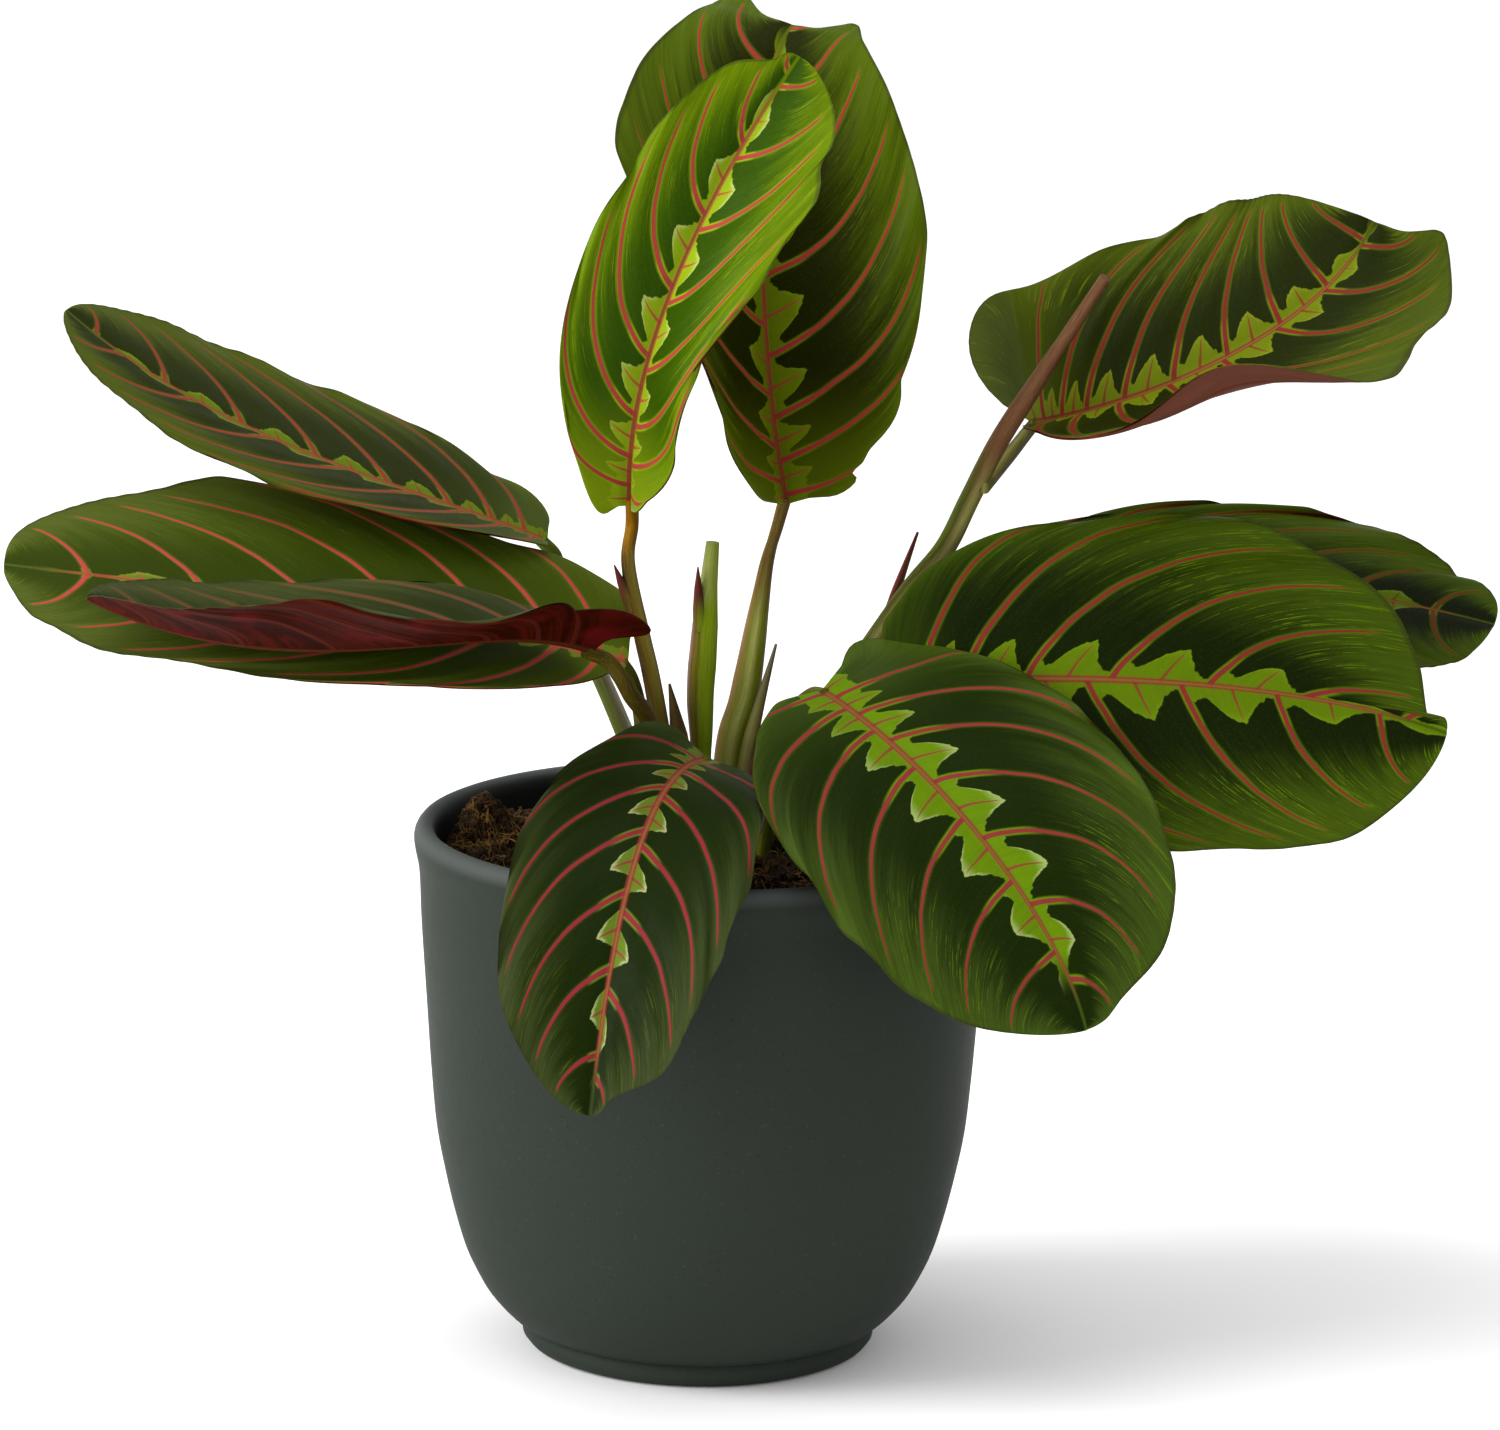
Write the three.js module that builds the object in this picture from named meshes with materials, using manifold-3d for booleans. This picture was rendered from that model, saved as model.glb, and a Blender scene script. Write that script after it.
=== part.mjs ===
// Potted prayer plant: a glazed cover pot, its soil, ten leaves on their stalks and the young shoots.
// Millimetres, +Z up. The origin is the centre of the flat foot of the pot, on the surface it stands on.
// The front of the plant looks along -Y and +X is to its right.

import * as THREE from 'three';
import Module from 'manifold-3d';

const wasm = await Module();
wasm.setup();

// Pot
const POT_HEIGHT = 120;
const POT_WALL = 4.2;
const POT_SEGMENTS = 44;
const POT_FLOOR = 6;
const POT_FLOOR_FILLET = 5;
const POT_NECK = 111;
const POT_OUTER = [
  [37.6, 0], [38.8, 1], [39.0, 2.6], [38.5, 3.6], [41.9, 5], [43.8, 7], [47.5, 12], [49.8, 16], [52.7, 22],
  [55.2, 30], [57.6, 40], [59.5, 50], [60.7, 62], [62.0, 80], [63.2, 97], [63.9, 110], [64.7, 114],
  [65.0, 117], [64.3, 118.9], [63.0, POT_HEIGHT],
];
const RIM_INNER = [[61.5, 119.6], [60.4, 118.2], [60.0, 116]];

// Soil
const SOIL_GAP = 0.4;
const SOIL_SEGMENTS = 44;
const SOIL_RINGS = 8;
const SOIL_SHOULDER = 100;
const SOIL_LEVEL = 112.5;
const SOIL_MOUND = 3;
const HOLE_CLEARANCE = 0.3;
const HOLE_SIDES = 12;
const HOLE_TOP = 150;

// Stalks
const STALK_FOOT = 90;
const STALK_EXIT = 118;
const STALK_SIDES = 8;
const SEAT_GAP = 0.8;
const JOINT_LENGTH = 5;

// Leaf blades
const BLADE_THICKNESS = 0.7;
const BLADE_ROWS = 20;
const BLADE_COLUMNS = 4;
const VEIN_ROOT_POWER = 3;
const VEIN_ROOT_SPREAD = 0.04;
const VEIN_EDGE_POWER = 0.81;
const LOBE_PLACE = 0.05;

const COLOR = {
  pot: 0x3a423f,
  soil: 0x35261b,
  leafBright: 0x2f5a17,
  leafYoung: 0x4f7d22,
  leafDark: 0x24391f,
  stalkGreen: 0x76803c,
  stalkPurple: 0x5b3f30,
  stalkBrown: 0x7a6544,
};

// Each leaf: four control points of its midrib from base to tip, the way its upper face looks at
// base, middle and tip, and for its left and right half: width, lobe behind the base and ahead of
// the tip, forward lean of the side veins, skew of the widest point to the tip, bluntness, and the
// fold about the midrib at base, middle and tip.
const LEAVES = [
  {
    name: 'leaf_back_top', color: COLOR.leafBright,
    midrib: [[17, 26, 187.5], [8.5, 36, 226], [8.5, 38, 286], [17, 54, 292.5]],
    face: [[-0.15, -1, 0.1], [0, -1, 0.15], [0, -0.8, 1]],
    width: [40, 38], lobe: [3, 5], ahead: [4, 2], forward: [0, 0], skew: [1, 1.05], blunt: [0.46, 0.5],
    fold: [[80, 76, -7], [20, 12, 10]], curl: [[0, 0, 0], [0, 0, 0]], wave: 1.2, waves: 5,
  },
  {
    name: 'leaf_front_top', color: COLOR.leafYoung,
    midrib: [[-17.5, 0, 191.5], [-19.5, -14, 226], [-2.5, -16, 263], [18, 4, 291.5]],
    face: [[-0.5, -1, 0.1], [-0.15, -1, 0.1], [0.1, -1, 0.3]],
    width: [21, 26.5], lobe: [4, 4], ahead: [0, 0], forward: [0, 0], skew: [1.05, 1.15], blunt: [0.55, 0.55],
    fold: [[20, 10, 10], [58, 58, 12]], curl: [[0, 0, 0], [0, 0, 0]], wave: 0.9, waves: 5,
  },
  {
    name: 'leaf_upper_right', color: COLOR.leafBright,
    midrib: [[72, 28, 206.5], [90, 2, 214.5], [134, 1, 230.5], [147, 26, 254]],
    face: [[-0.75, -0.65, 0], [-0.3, -0.8, 0.5], [0.08, -0.68, 0.77]],
    width: [34.5, 40], lobe: [25, 4], ahead: [0, 0], forward: [14, 0], skew: [1.1, 1.5], blunt: [0.2, 0.5],
    fold: [[0, 0, 0], [75, 45, -2]], curl: [[0, 0, 0], [20, 40, 10]], wave: 1, waves: 4,
  },
  {
    name: 'leaf_big_right', color: COLOR.leafBright,
    midrib: [[39, -4, 153], [81.5, -14, 159], [132, -16, 158], [163.5, -14, 146]],
    face: [[-0.1, -0.93, 0.32], [0, -0.9, 0.42], [0.1, -0.85, 0.45]],
    width: [40, 38], lobe: [5, 5], ahead: [0, 0], forward: [6, 0], skew: [0.8, 1.1], blunt: [0.66, 0.48],
    fold: [[0, 0, 0], [0, 0, 0]], curl: [[0, 0, 0], [0, 0, 0]], wave: 1.4, waves: 5,
  },
  {
    name: 'leaf_front_right', color: COLOR.leafBright,
    midrib: [[25, -20, 155], [46, -44, 147], [75.5, -64, 118.5], [82.5, -70, 92]],
    face: [[0.2, -0.6, 0.8], [0.3, -0.8, 0.55], [0.3, -0.9, 0.3]],
    width: [42, 41.5], lobe: [11, 2], ahead: [0, 0], forward: [0, 0], skew: [0.88, 1], blunt: [0.52, 0.52],
    fold: [[0, 0, 0], [6, 6, 0]], curl: [[0, 0, 0], [0, 0, 0]], wave: 1.1, waves: 5,
  },
  {
    name: 'leaf_far_right', color: COLOR.leafDark,
    midrib: [[70, 37, 172], [103, 46, 171.5], [141, 46, 168], [178.5, 34, 161]],
    face: [[0, -0.5, 0.85], [0, -0.5, 0.85], [0.1, -0.5, 0.85]],
    width: [24, 31], lobe: [4, 4], ahead: [0, 0], forward: [0, 0], skew: [1, 1], blunt: [0.42, 0.42],
    fold: [[0, 0, 0], [0, 0, 0]], curl: [[0, 0, 0], [0, 0, 0]], wave: 1.4, waves: 5,
  },
  {
    name: 'leaf_front_low', color: COLOR.leafDark,
    midrib: [[0.5, -24, 140], [-7.5, -52, 146], [-19.5, -80, 117.5], [-23.5, -90, 77]],
    face: [[-0.1, -0.6, 0.8], [-0.1, -0.8, 0.6], [-0.1, -1, 0.1]],
    width: [27.5, 26], lobe: [2, 7], ahead: [0, 0], forward: [0, 0], skew: [0.97, 0.97], blunt: [0.52, 0.54],
    fold: [[2, 12, 20], [0, 0, 0]], curl: [[0, 5, 20], [0, 0, 0]], wave: 1.1, waves: 5,
  },
  {
    name: 'leaf_left_low', color: COLOR.leafDark,
    midrib: [[-17.5, -8, 158], [-57, -18, 171], [-110.5, -34, 178.5], [-152, -40, 184.5]],
    face: [[0.1, -0.5, 0.85], [0.1, -0.5, 0.85], [0.1, -0.5, 0.85]],
    width: [24.5, 31.5], lobe: [4, 8], ahead: [0, 0], forward: [0, 0], skew: [1.15, 1], blunt: [0.6, 0.42],
    fold: [[0, 0, 0], [13, -2, 0]], curl: [[0, 0, 0], [0, 0, 0]], wave: 1.1, waves: 5,
  },
  {
    name: 'leaf_left_high', color: COLOR.leafDark,
    midrib: [[-36, 10, 181.5], [-70, 6, 195.5], [-108.5, 4, 203.5], [-143, 10, 232]],
    face: [[0.4, -0.36, 0.83], [0.4, -0.36, 0.83], [0.4, -0.36, 0.83]],
    width: [20, 27], lobe: [4, 4], ahead: [0, 0], forward: [0, 0], skew: [1.2, 1.2], blunt: [0.55, 0.55],
    fold: [[20, 0, 0], [0, 0, 0]], curl: [[0, 0, 0], [0, 0, 0]], wave: 1, waves: 5,
  },
  {
    name: 'leaf_left_folded', color: COLOR.leafDark,
    midrib: [[-25.5, -25, 164], [-51, -42, 176.5], [-87.5, -58, 159], [-132, -65, 182.5]],
    face: [[0.1, 0, 1], [0.1, 0, 1], [0.1, 0, 1]],
    width: [27, 27], lobe: [14, 4], ahead: [0, 0], forward: [0, 0], skew: [1, 1], blunt: [0.52, 0.52],
    fold: [[60, -5, 40], [16, 21, 20]], curl: [[0, 0, 0], [0, 0, 0]], wave: 1.2, waves: 5,
  },
];

// Each stalk: the leaf that it carries, the place where it leaves the soil, its way points and its
// radii from foot to top.
const STALKS = [
  {
    name: 'stalk_back_top', leaf: 'leaf_back_top', under: 10, side: 35, color: COLOR.stalkPurple,
    root: [4, 9], way: [[5.5, 9, 137], [8, 11, 145.5], [11.5, 17, 167], [13, 21, 175.5]],
    radii: [3, 3.3, 3.4, 3.3, 2.7, 1.9, 1.3, 1.5],
  },
  {
    name: 'stalk_front_top', leaf: 'leaf_front_top', under: 0, color: COLOR.stalkPurple, root: [-7, -5],
    way: [[-9.7, -5.5, 139], [-12.6, -6, 155], [-14.8, -4.5, 164], [-18, -2, 180]],
    radii: [2.4, 2.2, 2.1, 2, 1.9, 1.7, 1.5, 1.5],
    tips: [[[-16.5, -4, 168], [-21, -4, 179], 1.3]],
  },
  {
    name: 'stalk_upper_right', color: COLOR.stalkBrown, root: [15, 3],
    way: [
      [23, 6, 139], [36, 10, 158], [45.5, 13, 171.5], [52.5, 11, 181], [57.5, 6, 193], [63.2, -1, 207],
      [70, -7, 220], [85, -18, 247],
    ],
    radii: [2.6, 2.5, 2.4, 2.4, 2.4, 2.3, 2.2, 1.6, 1.3],
    branch: { leaf: 'leaf_upper_right', under: 45, from: [60.5, 1.5, 196.5], radii: [1.4, 1.6, 1.4] },
  },
  {
    name: 'stalk_big_right', leaf: 'leaf_big_right', under: 45, color: COLOR.stalkGreen, root: [11, -5],
    way: [[16.5, -4, 128], [27, -1.5, 142]], radii: [2.2, 2.1, 1.9, 1.6, 1.5],
  },
  {
    name: 'stalk_front_right', leaf: 'leaf_front_right', under: 40, color: COLOR.stalkGreen,
    root: [12.5, -13], way: [[13.5, -12.5, 130], [16.5, -13, 145]], radii: [2.2, 2.1, 1.8, 1.6, 1.5],
  },
  {
    name: 'stalk_far_right', leaf: 'leaf_far_right', under: 40, color: COLOR.stalkGreen, root: [18, 13],
    way: [[30, 20, 138], [46, 30, 160]], radii: [2.2, 2.1, 1.8, 1.6, 1.5],
  },
  {
    name: 'stalk_front_low', leaf: 'leaf_front_low', under: 40, color: COLOR.stalkGreen, root: [3, -13],
    way: [[3.5, -13.5, 123.5]], radii: [2.1, 2, 1.8, 1.6, 1.5],
  },
  {
    name: 'stalk_left_low', leaf: 'leaf_left_low', under: 60, color: COLOR.stalkGreen, root: [-14, -1.5],
    way: [[-14.5, -2, 142.5]], radii: [2.3, 2, 1.8, 1.6, 1.5],
  },
  {
    name: 'stalk_left_high', leaf: 'leaf_left_high', under: 45, color: COLOR.stalkGreen, root: [-10.5, 8],
    way: [[-17.8, 8, 137], [-24.5, 9, 152], [-34.5, 12, 170]], radii: [2.2, 2.2, 2.1, 1.9, 1.6, 1.5],
  },
  {
    name: 'stalk_left_folded', leaf: 'leaf_left_folded', under: 10, color: COLOR.stalkPurple,
    root: [-8.5, -12], way: [[-12.9, -14, 146], [-16.7, -20, 153], [-19.2, -23, 158]],
    radii: [2.3, 2.4, 2.3, 2, 1.8, 1.6],
  },
];

// Shoots with no open leaf: the cut stump, and the pointed sheaths and the rolled spear.
const SHOOTS = [
  {
    name: 'stump', color: COLOR.stalkGreen, root: [-2, 0],
    way: [[-1.2, 0, 137.5], [-1.5, 0, 149], [-1, 0, 159], [-0.4, 0, 169], [0.7, 0, 183.7]],
    radii: [2.4, 2.4, 2.4, 3, 3.2, 2.9, 2, 1.5],
    tips: [[[-1.5, -1.5, 164], [-1.6, -2.5, 178.3], 1.1]],
  },
  {
    name: 'sheath_right', color: COLOR.stalkBrown, root: [6.5, 2.2],
    way: [[9.4, 4, 136], [11, 5.5, 143], [15.2, 8, 159.2]], radii: [1.8, 1.7, 1.7, 1, 0.3],
  },
  {
    name: 'sheath_left', color: COLOR.stalkPurple, root: [-1.5, -8.5],
    way: [[-6.4, -8, 143], [-8.4, -9, 153.4]], radii: [1.7, 1.8, 1.7, 0.3],
  },
  {
    name: 'sheath_small', color: COLOR.stalkPurple, root: [7, -9.5],
    way: [[11.9, -7, 138], [14.8, -6, 144.5], [16.2, -5, 148.3]], radii: [1.4, 1.4, 1.3, 0.9, 0.3],
  },
  {
    name: 'spear', color: COLOR.stalkPurple, root: [22, 8],
    way: [[28.5, 13.5, 138], [38.1, 16, 157.5], [42.4, 17, 171], [46.6, 18, 183.2]],
    radii: [1.8, 1.7, 1.7, 1.6, 1.1, 0.3],
  },
];

// Small helpers

function vector(values) {
  return new THREE.Vector3(values[0], values[1], values[2]);
}

function blend(values, s) {
  const a = (1 - s) * (1 - s);
  const b = 2 * s * (1 - s);
  const c = s * s;
  if (typeof values[0] === 'number') return a * values[0] + b * values[1] + c * values[2];
  return new THREE.Vector3()
    .addScaledVector(vector(values[0]), a)
    .addScaledVector(vector(values[1]), b)
    .addScaledVector(vector(values[2]), c);
}

function valueAlong(values, s) {
  const place = Math.min(Math.max(s, 0), 1) * (values.length - 1);
  const index = Math.min(Math.floor(place), values.length - 2);
  const rest = place - index;
  return values[index] * (1 - rest) + values[index + 1] * rest;
}

function closedGeometry(points, triangles) {
  const positions = new Float32Array(points.length * 3);
  points.forEach((point, index) => point.toArray(positions, index * 3));
  let volume = 0;
  for (const [a, b, c] of triangles) {
    volume += points[a].dot(new THREE.Vector3().crossVectors(points[b], points[c]));
  }
  const outward = volume > 0 ? triangles : triangles.map(([a, b, c]) => [a, c, b]);
  const geometry = new THREE.BufferGeometry();
  geometry.setAttribute('position', new THREE.BufferAttribute(positions, 3));
  geometry.setIndex(outward.flat());
  return geometry;
}

function toManifold(geometry) {
  return new wasm.Manifold(new wasm.Mesh({
    numProp: 3,
    vertProperties: new Float32Array(geometry.attributes.position.array),
    triVerts: new Uint32Array(geometry.index.array),
  }));
}

function fromManifold(solid) {
  const mesh = solid.getMesh();
  const geometry = new THREE.BufferGeometry();
  geometry.setAttribute('position', new THREE.BufferAttribute(new Float32Array(mesh.vertProperties), 3));
  geometry.setIndex(Array.from(mesh.triVerts));
  return geometry;
}

function material(color, roughness) {
  return new THREE.MeshStandardMaterial({ color, roughness, metalness: 0 });
}

function addMesh(group, name, geometry, look) {
  geometry.computeVertexNormals();
  const mesh = new THREE.Mesh(geometry, look);
  mesh.name = name;
  group.add(mesh);
}

// Revolved solids: a closed skin round the Z axis from a profile of [radius, height] pairs that
// starts and ends on the axis.

function revolve(profile, segments, heightAt) {
  const points = [];
  const rings = profile.map(([radius, height]) => {
    if (radius === 0) {
      points.push(new THREE.Vector3(0, 0, height));
      return [points.length - 1];
    }
    const ring = [];
    for (let i = 0; i < segments; i += 1) {
      const angle = (2 * Math.PI * i) / segments;
      const x = radius * Math.cos(angle);
      const y = radius * Math.sin(angle);
      points.push(new THREE.Vector3(x, y, heightAt ? heightAt(x, y, height) : height));
      ring.push(points.length - 1);
    }
    return ring;
  });
  const triangles = [];
  for (let r = 0; r + 1 < rings.length; r += 1) {
    const lower = rings[r];
    const upper = rings[r + 1];
    for (let i = 0; i < segments; i += 1) {
      const j = (i + 1) % segments;
      if (lower.length === 1) triangles.push([lower[0], upper[i], upper[j]]);
      else if (upper.length === 1) triangles.push([lower[i], upper[0], lower[j]]);
      else triangles.push([lower[i], upper[i], upper[j]], [lower[i], upper[j], lower[j]]);
    }
  }
  return closedGeometry(points, triangles);
}

function potInnerProfile(offset) {
  const wall = POT_OUTER
    .filter(([, height]) => height > POT_FLOOR + POT_FLOOR_FILLET && height < POT_NECK)
    .map(([radius, height]) => [radius - POT_WALL - offset, height]);
  return [[wall[0][0] - POT_FLOOR_FILLET, POT_FLOOR + offset], ...wall];
}

function potGeometry() {
  const inner = potInnerProfile(0).reverse();
  return revolve([[0, 0], ...POT_OUTER, ...RIM_INNER, ...inner, [0, POT_FLOOR]], POT_SEGMENTS);
}

// The soil is heaped a little round the stems, lumpy, and banked up against the wall at the left.

function soilHeight(x, y) {
  const radius = Math.hypot(x, y);
  const mound = SOIL_MOUND * Math.exp(-((radius / 26) ** 2));
  const broadLumps = 0.8 * Math.sin(x * 0.13 - y * 0.37);
  const smallLumps = 1.1 * Math.sin(x * 0.31 + 1.3) * Math.cos(y * 0.27 - 0.6);
  const bank = 8 * Math.exp(-(((x + 50) / 10) ** 2) - (((y - 14) / 13) ** 2));
  return SOIL_LEVEL + mound + broadLumps + smallLumps + bank;
}

function soilGeometry() {
  const side = potInnerProfile(SOIL_GAP).filter(([, height]) => height < SOIL_SHOULDER);
  const edgeRadius = side[side.length - 1][0];
  const top = [];
  for (let i = 0; i < SOIL_RINGS; i += 1) {
    top.push([edgeRadius * (1 - i / SOIL_RINGS), SOIL_LEVEL]);
  }
  const profile = [[0, POT_FLOOR + SOIL_GAP], ...side, ...top, [0, SOIL_LEVEL]];
  const heightAt = (x, y, height) => (height === SOIL_LEVEL ? soilHeight(x, y) : height);
  return revolve(profile, SOIL_SEGMENTS, heightAt);
}

// A round stalk through a row of points, with the radius changing along it.

function sweep(points, radii, sides) {
  const vertices = [];
  const triangles = [];
  let across = new THREE.Vector3(1, 0, 0);
  points.forEach((point, index) => {
    const before = points[Math.max(index - 1, 0)];
    const after = points[Math.min(index + 1, points.length - 1)];
    const along = after.clone().sub(before).normalize();
    across = across.clone().addScaledVector(along, -across.dot(along)).normalize();
    const third = new THREE.Vector3().crossVectors(along, across);
    for (let i = 0; i < sides; i += 1) {
      const angle = (2 * Math.PI * i) / sides;
      vertices.push(point.clone()
        .addScaledVector(across, radii[index] * Math.cos(angle))
        .addScaledVector(third, radii[index] * Math.sin(angle)));
    }
  });
  for (let r = 0; r + 1 < points.length; r += 1) {
    for (let i = 0; i < sides; i += 1) {
      const j = (i + 1) % sides;
      const a = r * sides;
      const b = a + sides;
      triangles.push([a + i, a + j, b + j], [a + i, b + j, b + i]);
    }
  }
  const last = (points.length - 1) * sides;
  for (let i = 1; i + 1 < sides; i += 1) {
    triangles.push([0, i + 1, i], [last, last + i, last + i + 1]);
  }
  return closedGeometry(vertices, triangles);
}

// The last two stops of a stalk: it meets the base of its blade from behind, turned down from the
// midrib by the angle `under` and to the right half by the angle `side`.

function leafSeat(leafName, under, side = 0) {
  const leaf = LEAVES.find((entry) => entry.name === leafName);
  const base = vector(leaf.midrib[0]);
  const along = vector(leaf.midrib[1]).sub(base).normalize();
  const face = vector(leaf.face[0]);
  const up = face.addScaledVector(along, -face.dot(along)).normalize();
  const sideways = new THREE.Vector3().crossVectors(along, up);
  const down = THREE.MathUtils.degToRad(under);
  const turn = THREE.MathUtils.degToRad(side);
  const approach = along.multiplyScalar(Math.cos(down) * Math.cos(turn))
    .addScaledVector(sideways, Math.cos(down) * Math.sin(turn))
    .addScaledVector(up, Math.sin(down));
  return [
    base.clone().addScaledVector(approach, -JOINT_LENGTH),
    base.clone().addScaledVector(approach, -SEAT_GAP),
  ];
}

function curvePoints(stops, count) {
  return new THREE.CatmullRomCurve3(stops, false, 'centripetal').getSpacedPoints(count);
}

function stalkGeometry(stalk) {
  const [x, y] = stalk.root;
  const foot = new THREE.Vector3(x, y, STALK_FOOT);
  const exit = new THREE.Vector3(x, y, STALK_EXIT);
  const stops = [exit, ...stalk.way.map(vector)];
  if (stalk.leaf) stops.push(...leafSeat(stalk.leaf, stalk.under, stalk.side));
  const count = 3 * (stops.length - 1);
  const curve = curvePoints(stops, count);
  const radii = curve.map((point, index) => valueAlong(stalk.radii, index / count));
  const main = sweep([foot, ...curve], [stalk.radii[0], ...radii], STALK_SIDES);
  if (!stalk.tips && !stalk.branch) return main;
  let solid = toManifold(main);
  for (const [start, end, radius] of stalk.tips ?? []) {
    const tip = curvePoints([vector(start), vector(end)], 3);
    solid = solid.add(toManifold(sweep(tip, [radius, radius, radius * 0.6, 0.2], 6)));
  }
  if (stalk.branch) {
    const seat = leafSeat(stalk.branch.leaf, stalk.branch.under);
    const branch = curvePoints([vector(stalk.branch.from), ...seat], 6);
    const branchRadii = branch.map((point, index) => valueAlong(stalk.branch.radii, index / 6));
    solid = solid.add(toManifold(sweep(branch, branchRadii, STALK_SIDES)));
  }
  return fromManifold(solid);
}

function holeGeometry(stalk) {
  const [x, y] = stalk.root;
  const radius = (stalk.radii[0] + HOLE_CLEARANCE) / Math.cos(Math.PI / HOLE_SIDES);
  const ends = [new THREE.Vector3(x, y, STALK_FOOT - SOIL_GAP), new THREE.Vector3(x, y, HOLE_TOP)];
  return sweep(ends, [radius, radius], HOLE_SIDES);
}

// Leaf blades. A row runs from the midrib out to the edge along a side vein, which bends forward to
// the tip, so the folds and waves of the blade follow its veins.

function midribCurve(leaf) {
  return new THREE.CubicBezierCurve3(...leaf.midrib.map(vector));
}

function flatPoint(leaf, length, half, v, t) {
  const k = v ** (1 / VEIN_EDGE_POWER);
  const root = length * (VEIN_ROOT_SPREAD * v + (1 - VEIN_ROOT_SPREAD) * k ** VEIN_ROOT_POWER);
  const reach = Math.min(Math.max(v, 0), 1) ** leaf.skew[half];
  const edgeWidth = leaf.width[half] * Math.max(4 * reach * (1 - reach), 0) ** leaf.blunt[half];
  const behind = (v / LOBE_PLACE) * Math.exp(1 - v / LOBE_PLACE);
  const before = ((1 - v) / LOBE_PLACE) * Math.exp(1 - (1 - v) / LOBE_PLACE);
  const edge = length * v + 4 * leaf.forward[half] * v * (1 - v)
    - leaf.lobe[half] * behind * behind + leaf.ahead[half] * before * before;
  const middle = root + (edge - root) / 3;
  return {
    along: (1 - t) ** 2 * root + 2 * t * (1 - t) * middle + t * t * edge,
    across: 1.5 * t * (1 - t) * edgeWidth + t * t * edgeWidth,
    k,
  };
}

function bladePoint(leaf, curve, length, side, v, t) {
  const half = side < 0 ? 0 : 1;
  const { along, across, k } = flatPoint(leaf, length, half, v, t);
  const held = Math.min(Math.max(along, 0), length);
  const s = held / length;
  const u = curve.getUtoTmapping(s);
  const tangent = curve.getTangent(u);
  const origin = curve.getPoint(u).addScaledVector(tangent, along - held);
  const sideways = new THREE.Vector3().crossVectors(tangent, blend(leaf.face, s)).normalize();
  const up = new THREE.Vector3().crossVectors(sideways, tangent);
  const fold = THREE.MathUtils.degToRad(blend(leaf.fold[half], s));
  const bend = THREE.MathUtils.degToRad(blend(leaf.curl[half], s)) / leaf.width[half];
  const turn = Math.abs(bend) < 1e-6 ? 1e-6 : bend;
  const angle = fold + turn * across;
  const out = (Math.sin(angle) - Math.sin(fold)) / turn;
  const rise = (Math.cos(fold) - Math.cos(angle)) / turn;
  const normal = t === 0 ? up.clone() : up.clone().multiplyScalar(Math.cos(angle))
    .addScaledVector(sideways, -side * Math.sin(angle));
  const phase = side > 0 ? 0 : 1.7;
  const swell = leaf.wave * t ** 3 * Math.sin(Math.PI * k) ** 0.5;
  const ripple = swell * Math.sin(2 * Math.PI * leaf.waves * v + phase);
  const point = origin.addScaledVector(sideways, side * out).addScaledVector(up, rise)
    .addScaledVector(normal, ripple);
  return { point, normal };
}

function bladeGeometry(leaf) {
  const curve = midribCurve(leaf);
  const length = curve.getLength();
  const columns = 2 * BLADE_COLUMNS + 1;
  const points = [];
  const faceRows = [1, -1].map((face) => {
    const rows = [];
    for (let i = 0; i <= BLADE_ROWS; i += 1) {
      const v = (1 - Math.cos((Math.PI * i) / BLADE_ROWS)) / 2;
      const pole = i === 0 || i === BLADE_ROWS;
      const row = [];
      for (let j = 0; j < columns; j += 1) {
        if (pole && j > 0) {
          row.push(row[0]);
          continue;
        }
        const offset = pole ? 0 : j - BLADE_COLUMNS;
        const side = offset < 0 ? -1 : 1;
        const { point, normal } = bladePoint(leaf, curve, length, side, v, Math.abs(offset) / BLADE_COLUMNS);
        points.push(point.addScaledVector(normal, face * BLADE_THICKNESS / 2));
        row.push(points.length - 1);
      }
      rows.push(row);
    }
    return rows;
  });
  const [upper, lower] = faceRows;
  const triangles = [];
  const push = (a, b, c) => {
    if (a !== b && b !== c && c !== a) triangles.push([a, b, c]);
  };
  for (let i = 0; i < BLADE_ROWS; i += 1) {
    for (let j = 0; j + 1 < columns; j += 1) {
      const mirrored = j >= BLADE_COLUMNS;
      for (const [rows, flip] of [[upper, false], [lower, true]]) {
        const [a, b, c, d] = [rows[i][j], rows[i][j + 1], rows[i + 1][j + 1], rows[i + 1][j]];
        const pair = mirrored ? [[a, b, d], [b, c, d]] : [[a, b, c], [a, c, d]];
        for (const [p, q, r] of pair) push(p, flip ? r : q, flip ? q : r);
      }
    }
    for (const [j, flip] of [[0, false], [columns - 1, true]]) {
      const [a, b, c, d] = [upper[i][j], upper[i + 1][j], lower[i + 1][j], lower[i][j]];
      for (const [p, q, r] of [[a, b, c], [a, c, d]]) push(p, flip ? r : q, flip ? q : r);
    }
  }
  return closedGeometry(points, triangles);
}

const plant = new THREE.Group();

addMesh(plant, 'pot', potGeometry(), material(COLOR.pot, 0.45));

let soil = toManifold(soilGeometry());
for (const stalk of [...STALKS, ...SHOOTS]) {
  soil = soil.subtract(toManifold(holeGeometry(stalk)));
}
addMesh(plant, 'soil', fromManifold(soil), material(COLOR.soil, 0.95));

for (const leaf of LEAVES) {
  addMesh(plant, leaf.name, bladeGeometry(leaf), material(leaf.color, 0.4));
}

for (const stalk of [...STALKS, ...SHOOTS]) {
  addMesh(plant, stalk.name, stalkGeometry(stalk), material(stalk.color, 0.5));
}

export default plant;
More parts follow.
